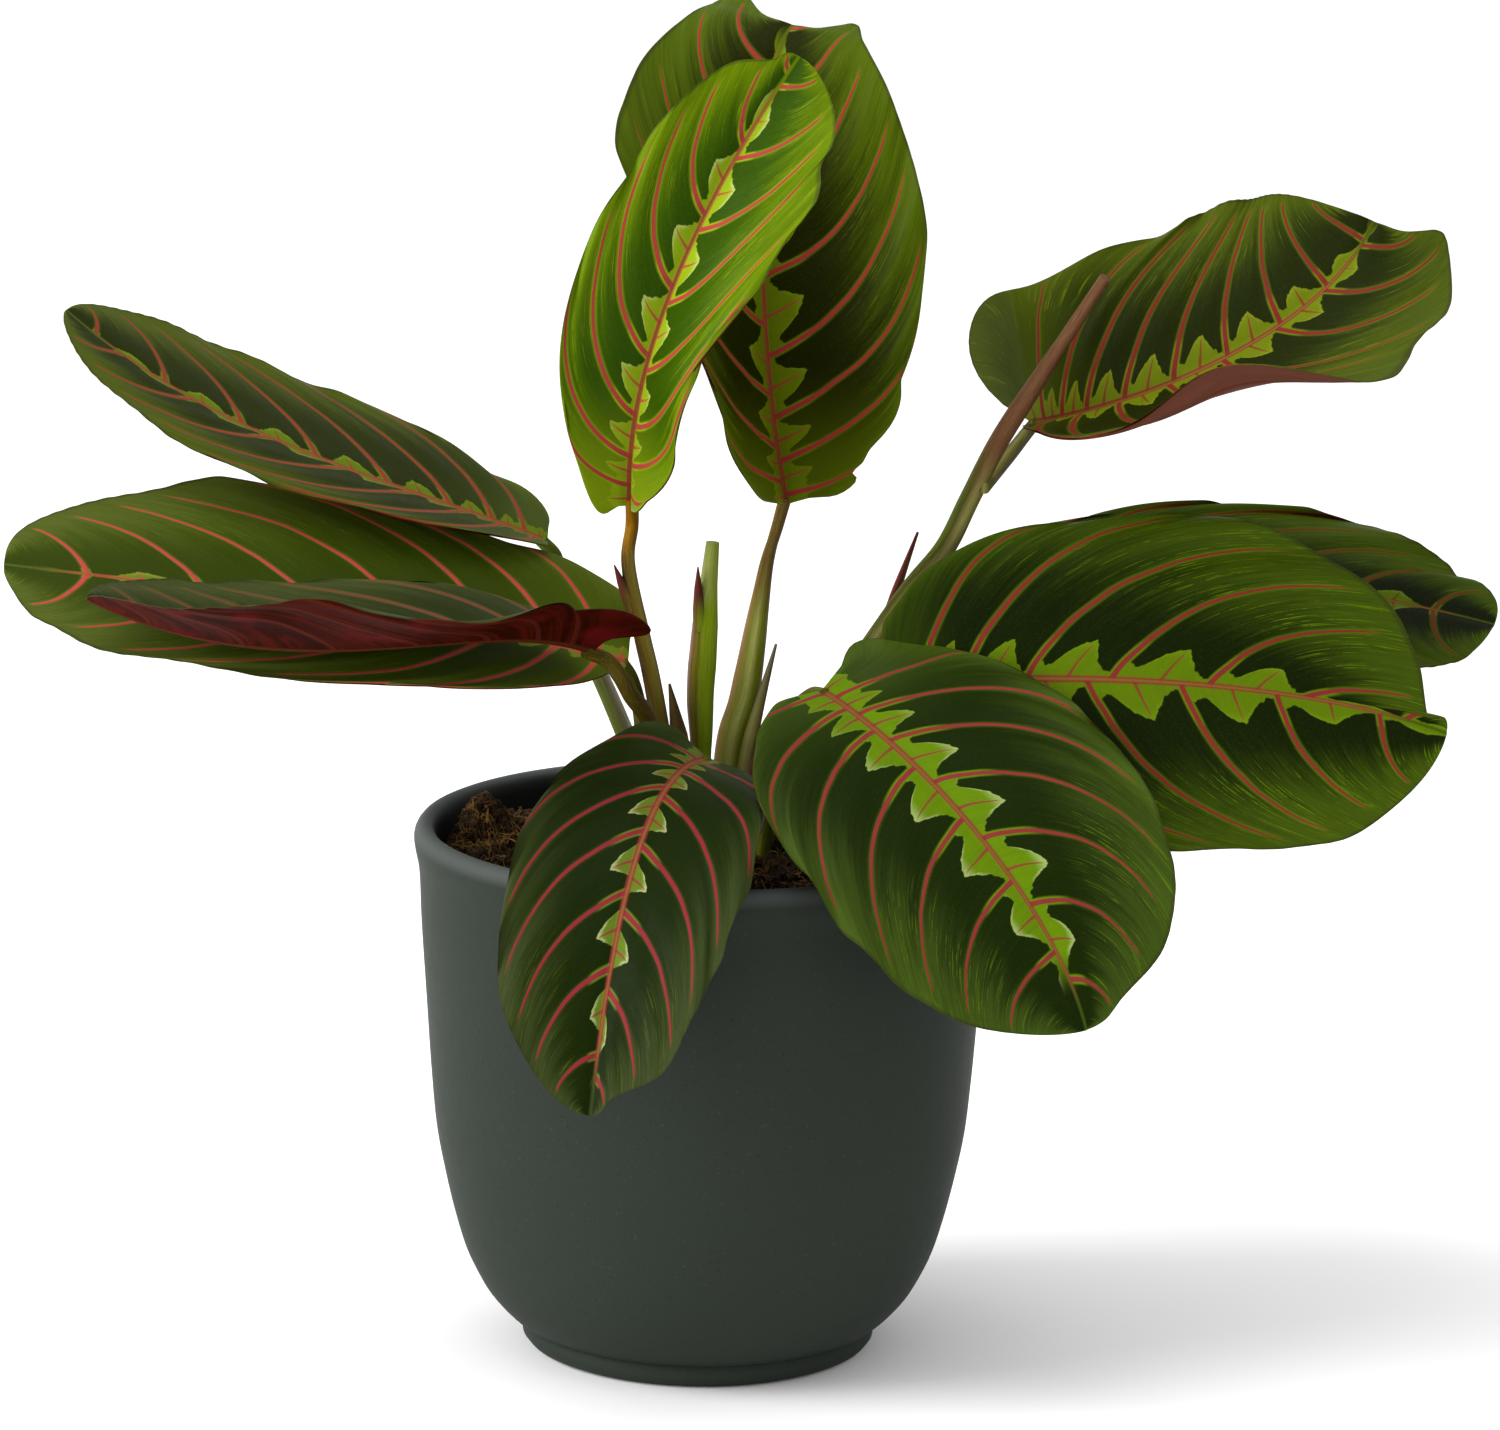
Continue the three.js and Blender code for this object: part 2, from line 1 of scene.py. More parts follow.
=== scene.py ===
"""Potted prayer plant: patterned blades, streaked stalks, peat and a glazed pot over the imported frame.

Metres, +Z up. Lengths below are in millimetres and are scaled by MM where a mesh is made, except the
camera's and the lights', which are in metres. A pair of values on a leaf is for the left and the right
half of its blade, seen from its face with the tip up.
"""

import math

import bpy
import numpy as np
from mathutils import Matrix, Vector


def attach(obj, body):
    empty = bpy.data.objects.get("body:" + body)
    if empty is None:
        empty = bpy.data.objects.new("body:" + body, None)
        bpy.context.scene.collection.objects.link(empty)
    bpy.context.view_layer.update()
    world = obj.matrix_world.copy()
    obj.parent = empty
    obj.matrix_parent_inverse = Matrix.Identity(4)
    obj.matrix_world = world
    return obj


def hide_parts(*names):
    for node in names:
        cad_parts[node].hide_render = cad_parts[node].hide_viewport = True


MM = 0.001
SPLINE_STEPS = 24
BODY = "root"

# Under these lights a surface looks lighter than its own colour, so each colour is given as it is seen
# and this share of it is painted.
PAINTED = 0.55

# Camera
PHOTO_WIDTH = 1500
FOCAL_PIXELS = 6902
SENSOR_WIDTH = 36
CAMERA_PLACE = (0, -1.5, 0.478)
CAMERA_PAN = 0.3655
CAMERA_TILT = 12.53
CAMERA_ROLL = 0.95
CAMERA_CLIP = (0.05, 20)

# Stage and lights: each light's place, the point that it is aimed at, its size and its power.
FLOOR_REACH = 4000
FLOOR_WHITES = (0xF4F4F4, 0xF8F8F8)
LIGHTS = {
    "key": ((-2.0, -0.6, 1.0), (0, 0, 0.12), (1.2, 1.6), 62),
    "top": ((-0.3, -0.3, 2.0), (0, 0, 0.15), (1.3, 1.1), 14),
}

# Leaf blades
MIDRIB_STEPS = 401
BLADE_ROWS = 150
BLADE_COLUMNS = 34
BLADE_THICKNESS = 0.5
EDGE_THICKNESS = 0.22
VEIN_LEAD = 0.25
VEIN_SWEEP = 6
LOBE_PLACE = 0.05
QUILT_HEIGHT = 0.45
GROOVE_DEPTH = 0.5
GROOVE_WIDTH = 1.6
CRIMP_HEIGHT = 0.12
CRIMPS = 2.3
FLAT = ((0, 0, 0), (0, 0, 0))

# Each leaf has the form of its solid. The midrib is a Bezier curve of four stops. face is the way the
# upper side looks at the base, the middle and the tip; fold and curl are degrees at the same places, up
# from flat and bent over the half's width. width is each half's greatest width; skew above 1 moves it
# towards the tip, and a smaller blunt makes both ends fuller. lobe reaches back at the base, ahead
# reaches on at the tip, and forward pushes the middle of the edge towards the tip. A smaller bend turns
# the side veins later, and ease narrows the very base. wave and waves are the height and number of the
# edge's ripples. nicks change the width, creases the fold and rolls the curl near one place: each has
# its place and spread along the blade, and its size.
# Then comes the look. colours are sRGB hex: the dark blotches, the green ground, its paler outer part,
# the light band along the midrib, the band's border and the veins. steps is the number of side veins on
# a half, and shift moves them. The blotches end at the share blotch of the width, over soft to each
# side. band_reach is how far the band's lobes reach, notch deepens the gaps between them, and the band
# ends at the share fade of the length. halo is the light along the veins, base that at the base, and
# flecks that of the flecks, which start at flecks_from. faded bleaches the underside.
PLAIN_LEAF = dict(
    ahead=(0, 0), forward=(0, 0), skew=(1, 1), fold=FLAT, curl=FLAT, waves=5, bend=0.2, ease=0,
    lobe_place=LOBE_PLACE, lobe_power=2, nicks=((), ()), creases=((), ()), rolls=((), ()),
    steps=7.4, shift=(0.3, 0.3), soft=0.35, notch=0, fade=0.86, base=0.1, flecks_from=0.1, faded=0,
)
LEAVES = {
    "leaf_back_top": dict(
        midrib=((17, 26, 187.5), (8.5, 36, 226), (8.5, 38, 286), (17, 54, 292.5)),
        face=((-0.15, -1, 0.1), (0, -1, 0.15), (0, -0.8, 1)),
        width=(40, 38), lobe=(3, 5), ahead=(12, 11), skew=(1, 1.05), blunt=(0.46, 0.5),
        fold=((80, 76, -7), (20, 12, 10)), wave=0.8,
        nicks=(
            ((0.9, 0.05, 3), (0.7, 0.08, -2.6), (0.3, 0.05, 1.8), (0.14, 0.06, -4)),
            ((0.93, 0.05, 3.5), (0.75, 0.1, 1), (0.17, 0.05, -3), (0.06, 0.03, -2.2), (0.075, 0.009, 2.5)),
        ),
        colours=(0x222600, 0x384602, 0x566C04, 0x74880A, 0x8EA21C, 0xB43C38),
        steps=7.35, shift=(0.3, 0.72), blotch=0.58, soft=0.3, band_reach=11, fade=0.9, halo=0.4, base=0.45,
        flecks=0.5, flecks_from=-0.3,
    ),
    "leaf_front_top": dict(
        midrib=((-17.5, 0, 191.5), (-19.5, -14, 226), (-2.5, -16, 263), (18, 4, 291.5)),
        face=((-0.5, -1, 0.1), (-0.15, -1, 0.1), (0.1, -1, 0.3)),
        width=(21, 26.5), lobe=(7, 0), skew=(1.05, 1.15), blunt=(0.55, 0.55),
        fold=((20, 10, 10), (58, 58, 12)), wave=0.9, creases=((), ((0.17, 0.12, -13),)),
        nicks=(
            ((0.96, 0.03, 3.2), (0.64, 0.06, 1.2), (0.36, 0.08, -0.5)),
            ((0.81, 0.035, 1.8), (0.43, 0.07, 1.2), (0.2, 0.09, -4), (0.08, 0.04, -2)),
        ),
        colours=(0x305000, 0x486A00, 0x708E00, 0x9CB818, 0xC8D878, 0xBD453F),
        steps=8, shift=(0.24, 0.45), blotch=0.55, soft=0.5, band_reach=7.5, notch=0.1, halo=0.45,
        base=0.75, flecks=0.7, flecks_from=-0.3,
    ),
    "leaf_upper_right": dict(
        midrib=((72, 28, 206.5), (90, 2, 214.5), (134, 1, 230.5), (147, 26, 254)),
        face=((-0.75, -0.65, 0), (-0.3, -0.8, 0.5), (0.08, -0.68, 0.77)),
        width=(34.5, 40), lobe=(27, 4), ahead=(0, 9), forward=(14, 0), skew=(1.1, 1.5), blunt=(0.3, 0.5),
        fold=((0, 0, 0), (75, 30, -6)), curl=((0, 0, 0), (20, 50, 5)), wave=1, waves=4,
        lobe_place=0.06, lobe_power=0.8, ease=0.02,
        rolls=((), ((0.5, 0.13, 32),)), creases=((), ((0.5, 0.2, -6), (0.08, 0.1, 12))),
        nicks=(
            ((0.09, 0.05, -5), (0.24, 0.13, -4.2), (0.8, 0.12, 2.5)),
            ((0.08, 0.08, 13), (0.25, 0.1, 3), (0.6, 0.1, -6.5), (0.78, 0.07, 7), (0.91, 0.07, 7)),
        ),
        colours=(0x202900, 0x3A480A, 0x52620C, 0x7A8A0C, 0x8E9E20, 0x8E3028), steps=9.2, shift=(0.2, 0.3),
        blotch=0.55, band_reach=9, fade=0.92, halo=0.4, base=0.2, flecks=0.7, flecks_from=-0.3, faded=0.6,
    ),
    "leaf_big_right": dict(
        midrib=((39, -4, 153), (81.5, -14, 159), (132, -16, 158), (163.5, -14, 146)),
        face=((-0.1, -0.93, 0.32), (0, -0.9, 0.42), (0.1, -0.85, 0.45)),
        width=(40, 38), lobe=(5, 5), forward=(6, 0), skew=(0.8, 1.1), blunt=(0.66, 0.48), wave=1.4,
        bend=0.28,
        nicks=(
            ((0.05, 0.03, 3), (0.34, 0.13, 3.2), (0.9, 0.035, 2.5), (0.95, 0.03, 9)),
            ((0.6, 0.08, 0.8), (0.86, 0.07, -2.2)),
        ),
        colours=(0x142000, 0x344806, 0x4C620C, 0x6B8A06, 0x7C9C10, 0x96362E), shift=(0.03, 0.3),
        blotch=0.52, soft=0.3, band_reach=11, fade=1, halo=0.5, base=0, flecks=1,
    ),
    "leaf_front_right": dict(
        midrib=((25, -20, 155), (46, -44, 147), (75.5, -64, 118.5), (82.5, -70, 92)),
        face=((0.2, -0.6, 0.8), (0.3, -0.8, 0.55), (0.3, -0.9, 0.3)),
        width=(42, 41.5), lobe=(14, 4), lobe_power=1, skew=(0.88, 1), blunt=(0.52, 0.52),
        fold=((0, 0, 0), (6, 6, 0)), wave=1.1,
        nicks=(
            ((0.1, 0.04, -1.6), (0.42, 0.07, 2), (0.58, 0.06, 1.2), (0.96, 0.04, 5.5)),
            ((0.05, 0.03, 2), (0.24, 0.1, -3.4), (0.88, 0.08, -1.4)),
        ),
        colours=(0x1A2A00, 0x344216, 0x4A601A, 0x729806, 0xC0D480, 0xA03C38),
        steps=7.2, shift=(0.4, -0.25), blotch=0.66, soft=0.4, band_reach=12, fade=0.82, halo=0.15,
        flecks=0.6, flecks_from=0.4,
    ),
    "leaf_far_right": dict(
        midrib=((70, 37, 172), (103, 46, 171.5), (141, 46, 168), (178.5, 34, 161)),
        face=((0, -0.5, 0.85), (0, -0.5, 0.85), (0.1, -0.5, 0.85)),
        width=(24, 31), lobe=(4, 4), blunt=(0.42, 0.42), wave=1.4,
        nicks=(
            ((0.2, 0.08, 3), (0.55, 0.07, -1.8), (0.7, 0.07, -3.2), (0.9, 0.02, 2.5)),
            ((0.97, 0.02, -1.5),),
        ),
        colours=(0x161E04, 0x3C4E04, 0x4C600A, 0x64800C, 0x7A9430, 0x753C16),
        blotch=0.5, soft=0.3, band_reach=7, notch=0.1, fade=0.8, halo=0.35, flecks=0.7,
    ),
    "leaf_front_low": dict(
        midrib=((0.5, -24, 140), (-13, -52, 146), (-19.5, -80, 117.5), (-23.5, -90, 77)),
        face=((-0.1, -0.6, 0.8), (-0.1, -0.8, 0.6), (-0.1, -1, 0.1)),
        width=(27.5, 26), lobe=(2, 7), skew=(0.97, 0.97), blunt=(0.52, 0.54), wave=1.1, bend=0.35,
        fold=((2, 12, 20), (0, 0, 0)), curl=((0, 5, 20), (0, 0, 0)), creases=((), ((0.03, 0.1, 16),)),
        nicks=(((0.22, 0.14, 0.8), (0.71, 0.04, 1.2), (0.96, 0.035, 5.5)), ((0.78, 0.1, -1.6),)),
        colours=(0x182700, 0x263408, 0x3C4820, 0x6C8420, 0xC4D090, 0x9A2E38), shift=(0.03, 0.3),
        blotch=0.7, soft=0.4, band_reach=6.5, notch=0.6, fade=0.85, halo=0.1, flecks=0.4, flecks_from=0.5,
    ),
    "leaf_left_low": dict(
        midrib=((-17.5, -8, 158), (-57, -18, 171), (-110.5, -34, 178.5), (-152, -40, 184.5)),
        face=((0.1, -0.5, 0.85),) * 3,
        width=(24.5, 31.5), lobe=(4, 8), skew=(1.15, 1), blunt=(0.6, 0.42), wave=0.5, bend=0.3,
        fold=((0, 0, 0), (13, -2, 0)),
        nicks=(
            ((0.05, 0.05, 3), (0.6, 0.08, -2.5), (0.86, 0.12, -6.5), (0.96, 0.03, -3)),
            ((0.13, 0.05, -2.5), (0.65, 0.13, -6)),
        ),
        colours=(0x3A4A08, 0x4E6010, 0x5E6C26, 0x7C9020, 0x98A840, 0xD8534D),
        blotch=0.5, band_reach=5, notch=0.2, halo=0.3, base=0.2, flecks=0.4,
    ),
    "leaf_left_high": dict(
        midrib=((-36, 10, 181.5), (-70, 6, 195.5), (-108.5, 4, 203.5), (-143, 10, 232)),
        face=((0.4, -0.36, 0.83),) * 3,
        width=(20, 27), lobe=(4, 4), skew=(1.2, 1.2), blunt=(0.55, 0.55), wave=0.5, bend=0.3,
        fold=((20, 0, 0), (0, 0, 0)), nicks=(((0.2, 0.06, -1),), ((0.08, 0.06, -5), (0.3, 0.16, -4))),
        colours=(0x2E360C, 0x4A5420, 0x5C6A1C, 0x6C8A14, 0x8AA028, 0xA44732), steps=8.2, shift=(0.6, 0.22),
        blotch=0.6, band_reach=5, notch=0.2, halo=0.2, base=0.2, flecks=0.3,
    ),
    "leaf_left_folded": dict(
        midrib=((-25.5, -25, 164), (-51, -42, 176.5), (-87.5, -58, 159), (-132, -65, 182.5)),
        face=((0.1, 0, 1),) * 3,
        width=(27, 27), lobe=(14, 4), blunt=(0.52, 0.52), wave=0.5, bend=0.3,
        fold=((56, 34, 22), (16, 21, 20)), creases=(((0.3, 0.2, -20), (0.66, 0.1, 6)), ()),
        nicks=(((0.15, 0.05, 5),), ()),
        colours=(0x2C360C, 0x3E461C, 0x4B5528, 0x74863C, 0x98A850, 0x8E4038),
        blotch=0.55, band_reach=5, notch=0.2, halo=0.3, flecks=0.3,
    ),
}
RIB_MIDDLE = 0x9A6430
DRY_EDGE = 0x3A3A1C
MAROON = (0x340C02, 0x561608)
CRIMSON = 0x7A161A
BLEACHED = 0x8E5A48
UNDER_VEIN = 0x6C2A1E
UNDER_RIB = 0x5A2A14

# The light band's reach: from one side vein to the next, and from the base to the tip.
LOBE_SHAPE = {
    0: 0.5, 0.08: 0.44, 0.15: 0.34, 0.21: 0.38, 0.27: 0.6, 0.33: 0.78, 0.42: 0.93, 0.51: 1,
    0.57: 0.84, 0.64: 0.66, 0.72: 0.46, 0.8: 0.32, 0.88: 0.2, 0.95: 0.17, 1: 0.3,
}
LOBE_SIZES = {0: 0.7, 0.15: 0.9, 0.4: 1, 0.65: 0.82, 0.8: 0.5, 0.9: 0.25, 1: 0.15}

# Pot: its outline from the foot over the rim, then down the inside, as radius and height.
POT_SEGMENTS = 220
POT_FOOT = 5
POT_PROFILE = (
    (36.8, 0), (38.6, 0.8), (39.7, 2.2), (39.8, 4), (39.2, 5.2), (41.6, 6.4), (44.4, 8.8), (48, 13),
    (49.8, 16), (52.7, 22), (55.2, 30), (57.6, 40), (59.5, 50), (60.7, 62), (62, 80), (63.2, 97),
    (63.9, 110), (64.7, 114), (65, 117), (64.3, 118.9), (63, 120), (61.5, 119.6), (60.4, 118.2),
    (60, 116),
)
POT_INNER = ((59.3, 104), (58.4, 88), (56.8, 62), (53.6, 40), (48.7, 22), (41, 11), (36, 6))
# The painted highlight on the lip spans these heights.
LIP_HIGHLIGHT_HEIGHTS = (115.5, 119)
# The painted shade inside the rim lies within these radii and above these heights.
INNER_SHADE_RADII = (60.2, 61.6)
INNER_SHADE_HEIGHTS = (100, 108)
GLAZE = (0x373E37, 0x3D443D)
DARK_SPECK = 0x161C1A
PALE_SPECK = 0x6A726E
# The lip's painted highlight.
LIP_HIGHLIGHT = 0x7C8280
# Painted shade for the inner wall above the soil.
INNER_SHADE = 0x181C1A

# Soil: a low mound with a clump against the wall, crumbs of peat and coir fibres.
SOIL_RADIUS = 58.4
SOIL_LEVEL = 112.5
MOUND_HEIGHT = 3
MOUND_SPREAD = 26
SOIL_DEPTH = 90
SOIL_RINGS = 90
SOIL_SEGMENTS = 200
SOIL_SEED = 5
SOIL_WAVES = ((0.5, 0.7), (0.9, 0.5), (1.7, 0.32), (3.1, 0.2))
CLUMP_PLACE = (-50, 13)
CLUMP_SPREAD = (5.5, 7)
CLUMP_HEIGHT = 6
CLUMP_CRUMBS = 110
CRUMBS = 1300
CRUMB_SEED = 11
CRUMB_SIZES = (0.5, 0.8, 1.2, 1.8)
CRUMB_SHARES = (0.45, 0.3, 0.18, 0.07)
CLOD_ROWS = 5
CLOD_SIDES = 8
FIBRES = 900
FIBRE_SEED = 23
FIBRE_CLUMP = (-49, 11)
FIBRE_SPREAD = (4.5, 7)
FIBRE_POINTS = 14
FIBRE_SIDES = 5
PEAT = (0x170D04, 0x503815)
PEAT_FIBRE = 0x7A5A1E
COIR = (0x38220A, 0x9C7630)

# Stalks. The places along a sheath's free point count from TIP_MARK on, beyond any stem's length, so
# that the skin can tell it apart.
STALK_FOOT = 90
STALK_EXIT = 118
STALK_STEPS = 26
STALK_SIDES = 28
STALK_RIDGES = 0.02
STALK_SLIM = 0.985
BRANCH_STEPS = 40
BRANCH_SIDES = 20
TIP_MARK = 300
TIP_STEPS = 16
TIP_SIDES = 14
SEAT_DEPTH = 1.4
SEAT_DROP = 0.6
JOINT_LENGTH = 5

# Each stalk's root in the soil, way points and radii along it. One that carries the leaf of its name
# comes to it at under degrees from below and side degrees from the side. branch is a side branch that
# carries the leaf instead: its start, under and radii. tip is the free point of a sheath: start, end
# and radius. low and high are the colours across the stem from its left side to its right, and turns is
# the length above the foot over which low turns to high.
# The pale right side of stalk_left_high's low colours is a painted highlight.
PLAIN_STALK = dict(
    side=0,
    low={0: 0x48580C, 0.35: 0x728214, 0.7: 0x6A781A, 1: 0x444C0C},
    high={0: 0x525C10, 0.5: 0x70741C, 1: 0x46440C}, turns=(40, 70),
)
STALKS = {
    "stalk_back_top": dict(
        under=10, side=35, root=(4, 9),
        way=((5.5, 9, 137), (8, 11, 145.5), (11.5, 17, 167), (13, 21, 175.5)),
        radii=(3, 3.3, 3.4, 3.3, 2.7, 1.9, 1.3, 1.5),
        low={0: 0xB89468, 0.14: 0x9A8040, 0.3: 0x8A9030, 0.55: 0xC6CA6C, 0.75: 0x8C9A1E, 1: 0x6A6418},
        high={0: 0x8A6A34, 0.3: 0x6E5620, 0.6: 0x7C6630, 1: 0x5A3E18}, turns=(70, 88),
    ),
    "stalk_front_top": dict(
        under=0, root=(-7, -5),
        way=((-9.7, -5.5, 139), (-12.6, -6, 155), (-14.8, -4.5, 164), (-18, -2, 180)),
        radii=(2.4, 2.2, 2.1, 2, 1.9, 1.7, 1.5, 1.5),
        tip=((-16.5, -4, 168), (-21, -4, 179), 1.3),
        low={0: 0x4E3612, 0.3: 0x5E4818, 0.6: 0x7C6C1A, 0.85: 0x8E7E38, 1: 0x544410},
        high={0: 0xA87404, 0.4: 0xB47A00, 0.75: 0x8C6000, 1: 0x6A4608}, turns=(91, 96),
    ),
    "stalk_upper_right": dict(
        root=(15, 3),
        way=(
            (23, 6, 139), (36, 10, 158), (45.5, 13, 171.5), (52.5, 11, 181), (57.5, 6, 193),
            (63.2, -1, 207), (70, -7, 220), (85, -18, 247),
        ),
        radii=(2.6, 2.5, 2.4, 2.4, 2.4, 2.3, 2.2, 1.6, 1.3),
        branch=((60.5, 1.5, 196.5), 45, (1.4, 1.6, 1.4)),
        low={0: 0x708414, 0.2: 0x54561C, 0.5: 0xA6A05A, 0.75: 0x7A7A34, 1: 0x4A3A1C},
        high={0: 0x6E4A30, 0.4: 0x84583C, 0.7: 0x744830, 1: 0x4A2E20}, turns=(116, 138),
    ),
    "stalk_big_right": dict(
        under=45, root=(11, -5), way=((16.5, -4, 128), (27, -1.5, 142)), radii=(2.2, 2.1, 1.9, 1.6, 1.5),
    ),
    "stalk_front_right": dict(
        under=40, root=(12.5, -13), way=((13.5, -12.5, 130), (16.5, -13, 145)),
        radii=(2.2, 2.1, 1.8, 1.6, 1.5),
    ),
    "stalk_far_right": dict(
        under=40, root=(18, 13), way=((30, 20, 138), (46, 30, 160)), radii=(2.2, 2.1, 1.8, 1.6, 1.5),
    ),
    "stalk_front_low": dict(
        under=40, root=(3, -13), way=((3.5, -13.5, 123.5),), radii=(2.1, 2, 1.8, 1.6, 1.5),
    ),
    "stalk_left_low": dict(
        under=60, root=(-14, -1.5), way=((-14.5, -2, 142.5),), radii=(2.3, 2, 1.8, 1.6, 1.5),
    ),
    "stalk_left_high": dict(
        under=45, root=(-10.5, 8),
        way=((-17.8, 8, 137), (-24.5, 9, 152), (-34.5, 12, 170)), radii=(2.2, 2.2, 2.1, 1.9, 1.6, 1.5),
        # Its low colours turn pale towards the right side: a painted highlight.
        low={0: 0x6E7E28, 0.35: 0x7E8A3A, 0.65: 0xA4A670, 0.85: 0xDAD6BC, 1: 0xE4E0CC},
        high={0: 0x5E7410, 0.5: 0x748820, 1: 0x4E5A14}, turns=(60, 90),
    ),
    "stalk_left_folded": dict(
        under=10, root=(-8.5, -12),
        way=((-12.9, -14, 146), (-16.7, -20, 153), (-19.2, -23, 158)), radii=(2.3, 2.4, 2.3, 2, 1.8, 1.6),
        low={0: 0x42280E, 0.35: 0x4C2E14, 0.7: 0x5E4422, 1: 0x7A6438},
        high={0: 0x5E5010, 0.5: 0x665810, 1: 0x44360A}, turns=(48, 66),
    ),
    "stump": dict(
        root=(-2, 0),
        way=((-1.2, 0, 137.5), (-1.5, 0, 149), (-1, 0, 159), (-0.4, 0, 169), (0.7, 0, 183.7)),
        radii=(2.4, 2.4, 2.4, 3, 3.2, 2.9, 2, 1.5),
        tip=((-2.1, -1.6, 164), (-2.5, -2.6, 178.6), 1.3),
        low={
            0: 0xC49C88, 0.09: 0x946044, 0.17: 0x888A1A, 0.31: 0x78601E, 0.42: 0x869E12,
            0.8: 0x8EAC10, 1: 0x6A7E08,
        },
        high={0: 0xB0B868, 0.5: 0xA6B450, 1: 0x86962A}, turns=(78, 84),
    ),
    "sheath_right": dict(
        root=(6.5, 2.2), way=((9.4, 4, 136), (11, 5.5, 143), (15.2, 8, 159.2)),
        radii=(1.8, 1.7, 1.7, 1, 0.3),
        low={0: 0x7A7C2A, 0.3: 0xB4B26A, 0.6: 0xA09C50, 0.85: 0x84703C, 1: 0x5A3420},
        high={0: 0x6E5C44, 0.4: 0x948A70, 1: 0x5A3A2C}, turns=(50, 70),
    ),
    "sheath_left": dict(
        root=(-1.5, -8.5), way=((-6.4, -8, 143), (-8.4, -9, 153.4)), radii=(1.7, 2, 2, 0.3),
        low={0: 0x54341E, 0.5: 0x6E4A2C, 1: 0x4A2E1C},
        high={0: 0x4A3420, 0.5: 0x64502C, 1: 0x44300E}, turns=(40, 60),
    ),
    "sheath_small": dict(
        root=(7, -9.5), way=((11.9, -7, 138), (14.8, -6, 144.5), (16.2, -5, 148.3)),
        radii=(1.4, 1.4, 1.3, 0.9, 0.3),
        low={0: 0x5E2A28, 0.5: 0x6E3234, 1: 0x421C1C},
        high={0: 0x5E2428, 0.5: 0x702C34, 1: 0x461A1E}, turns=(40, 60),
    ),
    "spear": dict(
        root=(22, 8), way=((28.5, 13.5, 138), (38.1, 16, 157.5), (42.4, 17, 171), (46.6, 18, 183.2)),
        radii=(1.8, 1.7, 1.7, 1.6, 1.1, 0.3),
        low={0: 0xB05A50, 0.22: 0x7A3A30, 0.5: 0x54401C, 0.8: 0x8A7850, 1: 0xC8C0A8},
        high={0: 0x9A443C, 0.4: 0x5A2020, 1: 0x6A4430}, turns=(60, 90),
    ),
}
SHEATH_TIP = {0: 0x7E4038, 0.5: 0x6A3028, 1: 0x4C2C20}
LIGHT_STREAK = 0xB4A86C
DARK_STREAK = 0x3A2A0C


# Numbers and meshes


def unit(vectors):
    return vectors / np.linalg.norm(vectors, axis=-1, keepdims=True)


def smooth(low, high, values):
    t = np.clip((values - low) / (high - low), 0, 1)
    return t * t * (3 - 2 * t)


def blend(values, s):
    """The quadratic curve through three values or vectors, at s from 0 to 1."""
    a, b, c = [np.asarray(value, float) for value in values]
    if a.ndim:
        s = s[..., None]
    return (1 - s) ** 2 * a + 2 * s * (1 - s) * b + s * s * c


def bezier(stops, u):
    """The cubic Bezier curve of four stops, at u from 0 to 1."""
    return (
        (1 - u) ** 3 * stops[0] + 3 * u * (1 - u) ** 2 * stops[1]
        + 3 * u * u * (1 - u) * stops[2] + u ** 3 * stops[3]
    )


def travelled_along(points):
    """How far along the points each of them lies."""
    return np.concatenate([[0], np.cumsum(np.linalg.norm(np.diff(points, axis=0), axis=1))])


def between(start, end, low, high, t):
    """The value at t on the straight line from low at start to high at end."""
    return (end - t) / (end - start) * low + (t - start) / (end - start) * high


def spline(stops, count):
    """Evenly spaced points on a centripetal Catmull-Rom curve through the stops."""
    p = np.array(stops, float)
    p = np.vstack([2 * p[0] - p[1], p, 2 * p[-1] - p[-2]])
    made = []
    for k in range(1, len(p) - 2):
        knots = [0.0]
        for a, b in ((k - 1, k), (k, k + 1), (k + 1, k + 2)):
            knots.append(knots[-1] + np.linalg.norm(p[b] - p[a]) ** 0.5)
        for t in np.linspace(knots[1], knots[2], SPLINE_STEPS, endpoint=k == len(p) - 3):
            values = p[k - 1:k + 3]
            for spans in (((0, 1), (1, 2), (2, 3)), ((0, 2), (1, 3)), ((1, 2),)):
                pairs = zip(spans, values, values[1:])
                values = [between(knots[a], knots[b], low, high, t) for (a, b), low, high in pairs]
            made.append(values[0])
    made = np.array(made)
    travelled = travelled_along(made)
    wanted = np.linspace(0, travelled[-1], count)
    return np.stack([np.interp(wanted, travelled, made[:, axis]) for axis in range(3)], -1)


def ring(radius, height, segments):
    """Points on a level circle."""
    angles = [2 * math.pi * i / segments for i in range(segments)]
    return [(radius * math.cos(angle), radius * math.sin(angle), height) for angle in angles]


def ring_faces(rings, sides, turned=False):
    """Four-sided faces from each ring of points to the next, turned for rings that widen or sink."""
    faces = []
    for k in range(rings - 1):
        low, high = k * sides, (k + 1) * sides
        for i in range(sides):
            j = (i + 1) % sides
            if turned:
                faces.append((low + i, high + i, high + j, low + j))
            else:
                faces.append((low + i, low + j, high + j, high + i))
    return faces


def closed_faces(rings, sides, turned=False):
    """The same, with a cap on the first ring and one on the last."""
    first = tuple(range(sides))
    last = tuple(range((rings - 1) * sides, rings * sides))
    caps = [first, last[::-1]] if turned else [first[::-1], last]
    return ring_faces(rings, sides, turned) + caps


def merged(parts):
    """The points and faces of several parts as those of one mesh."""
    points, faces = [], []
    for part_points, part_faces, *_ in parts:
        base = len(points)
        points += list(part_points)
        faces += [tuple(base + k for k in face) for face in part_faces]
    return points, faces


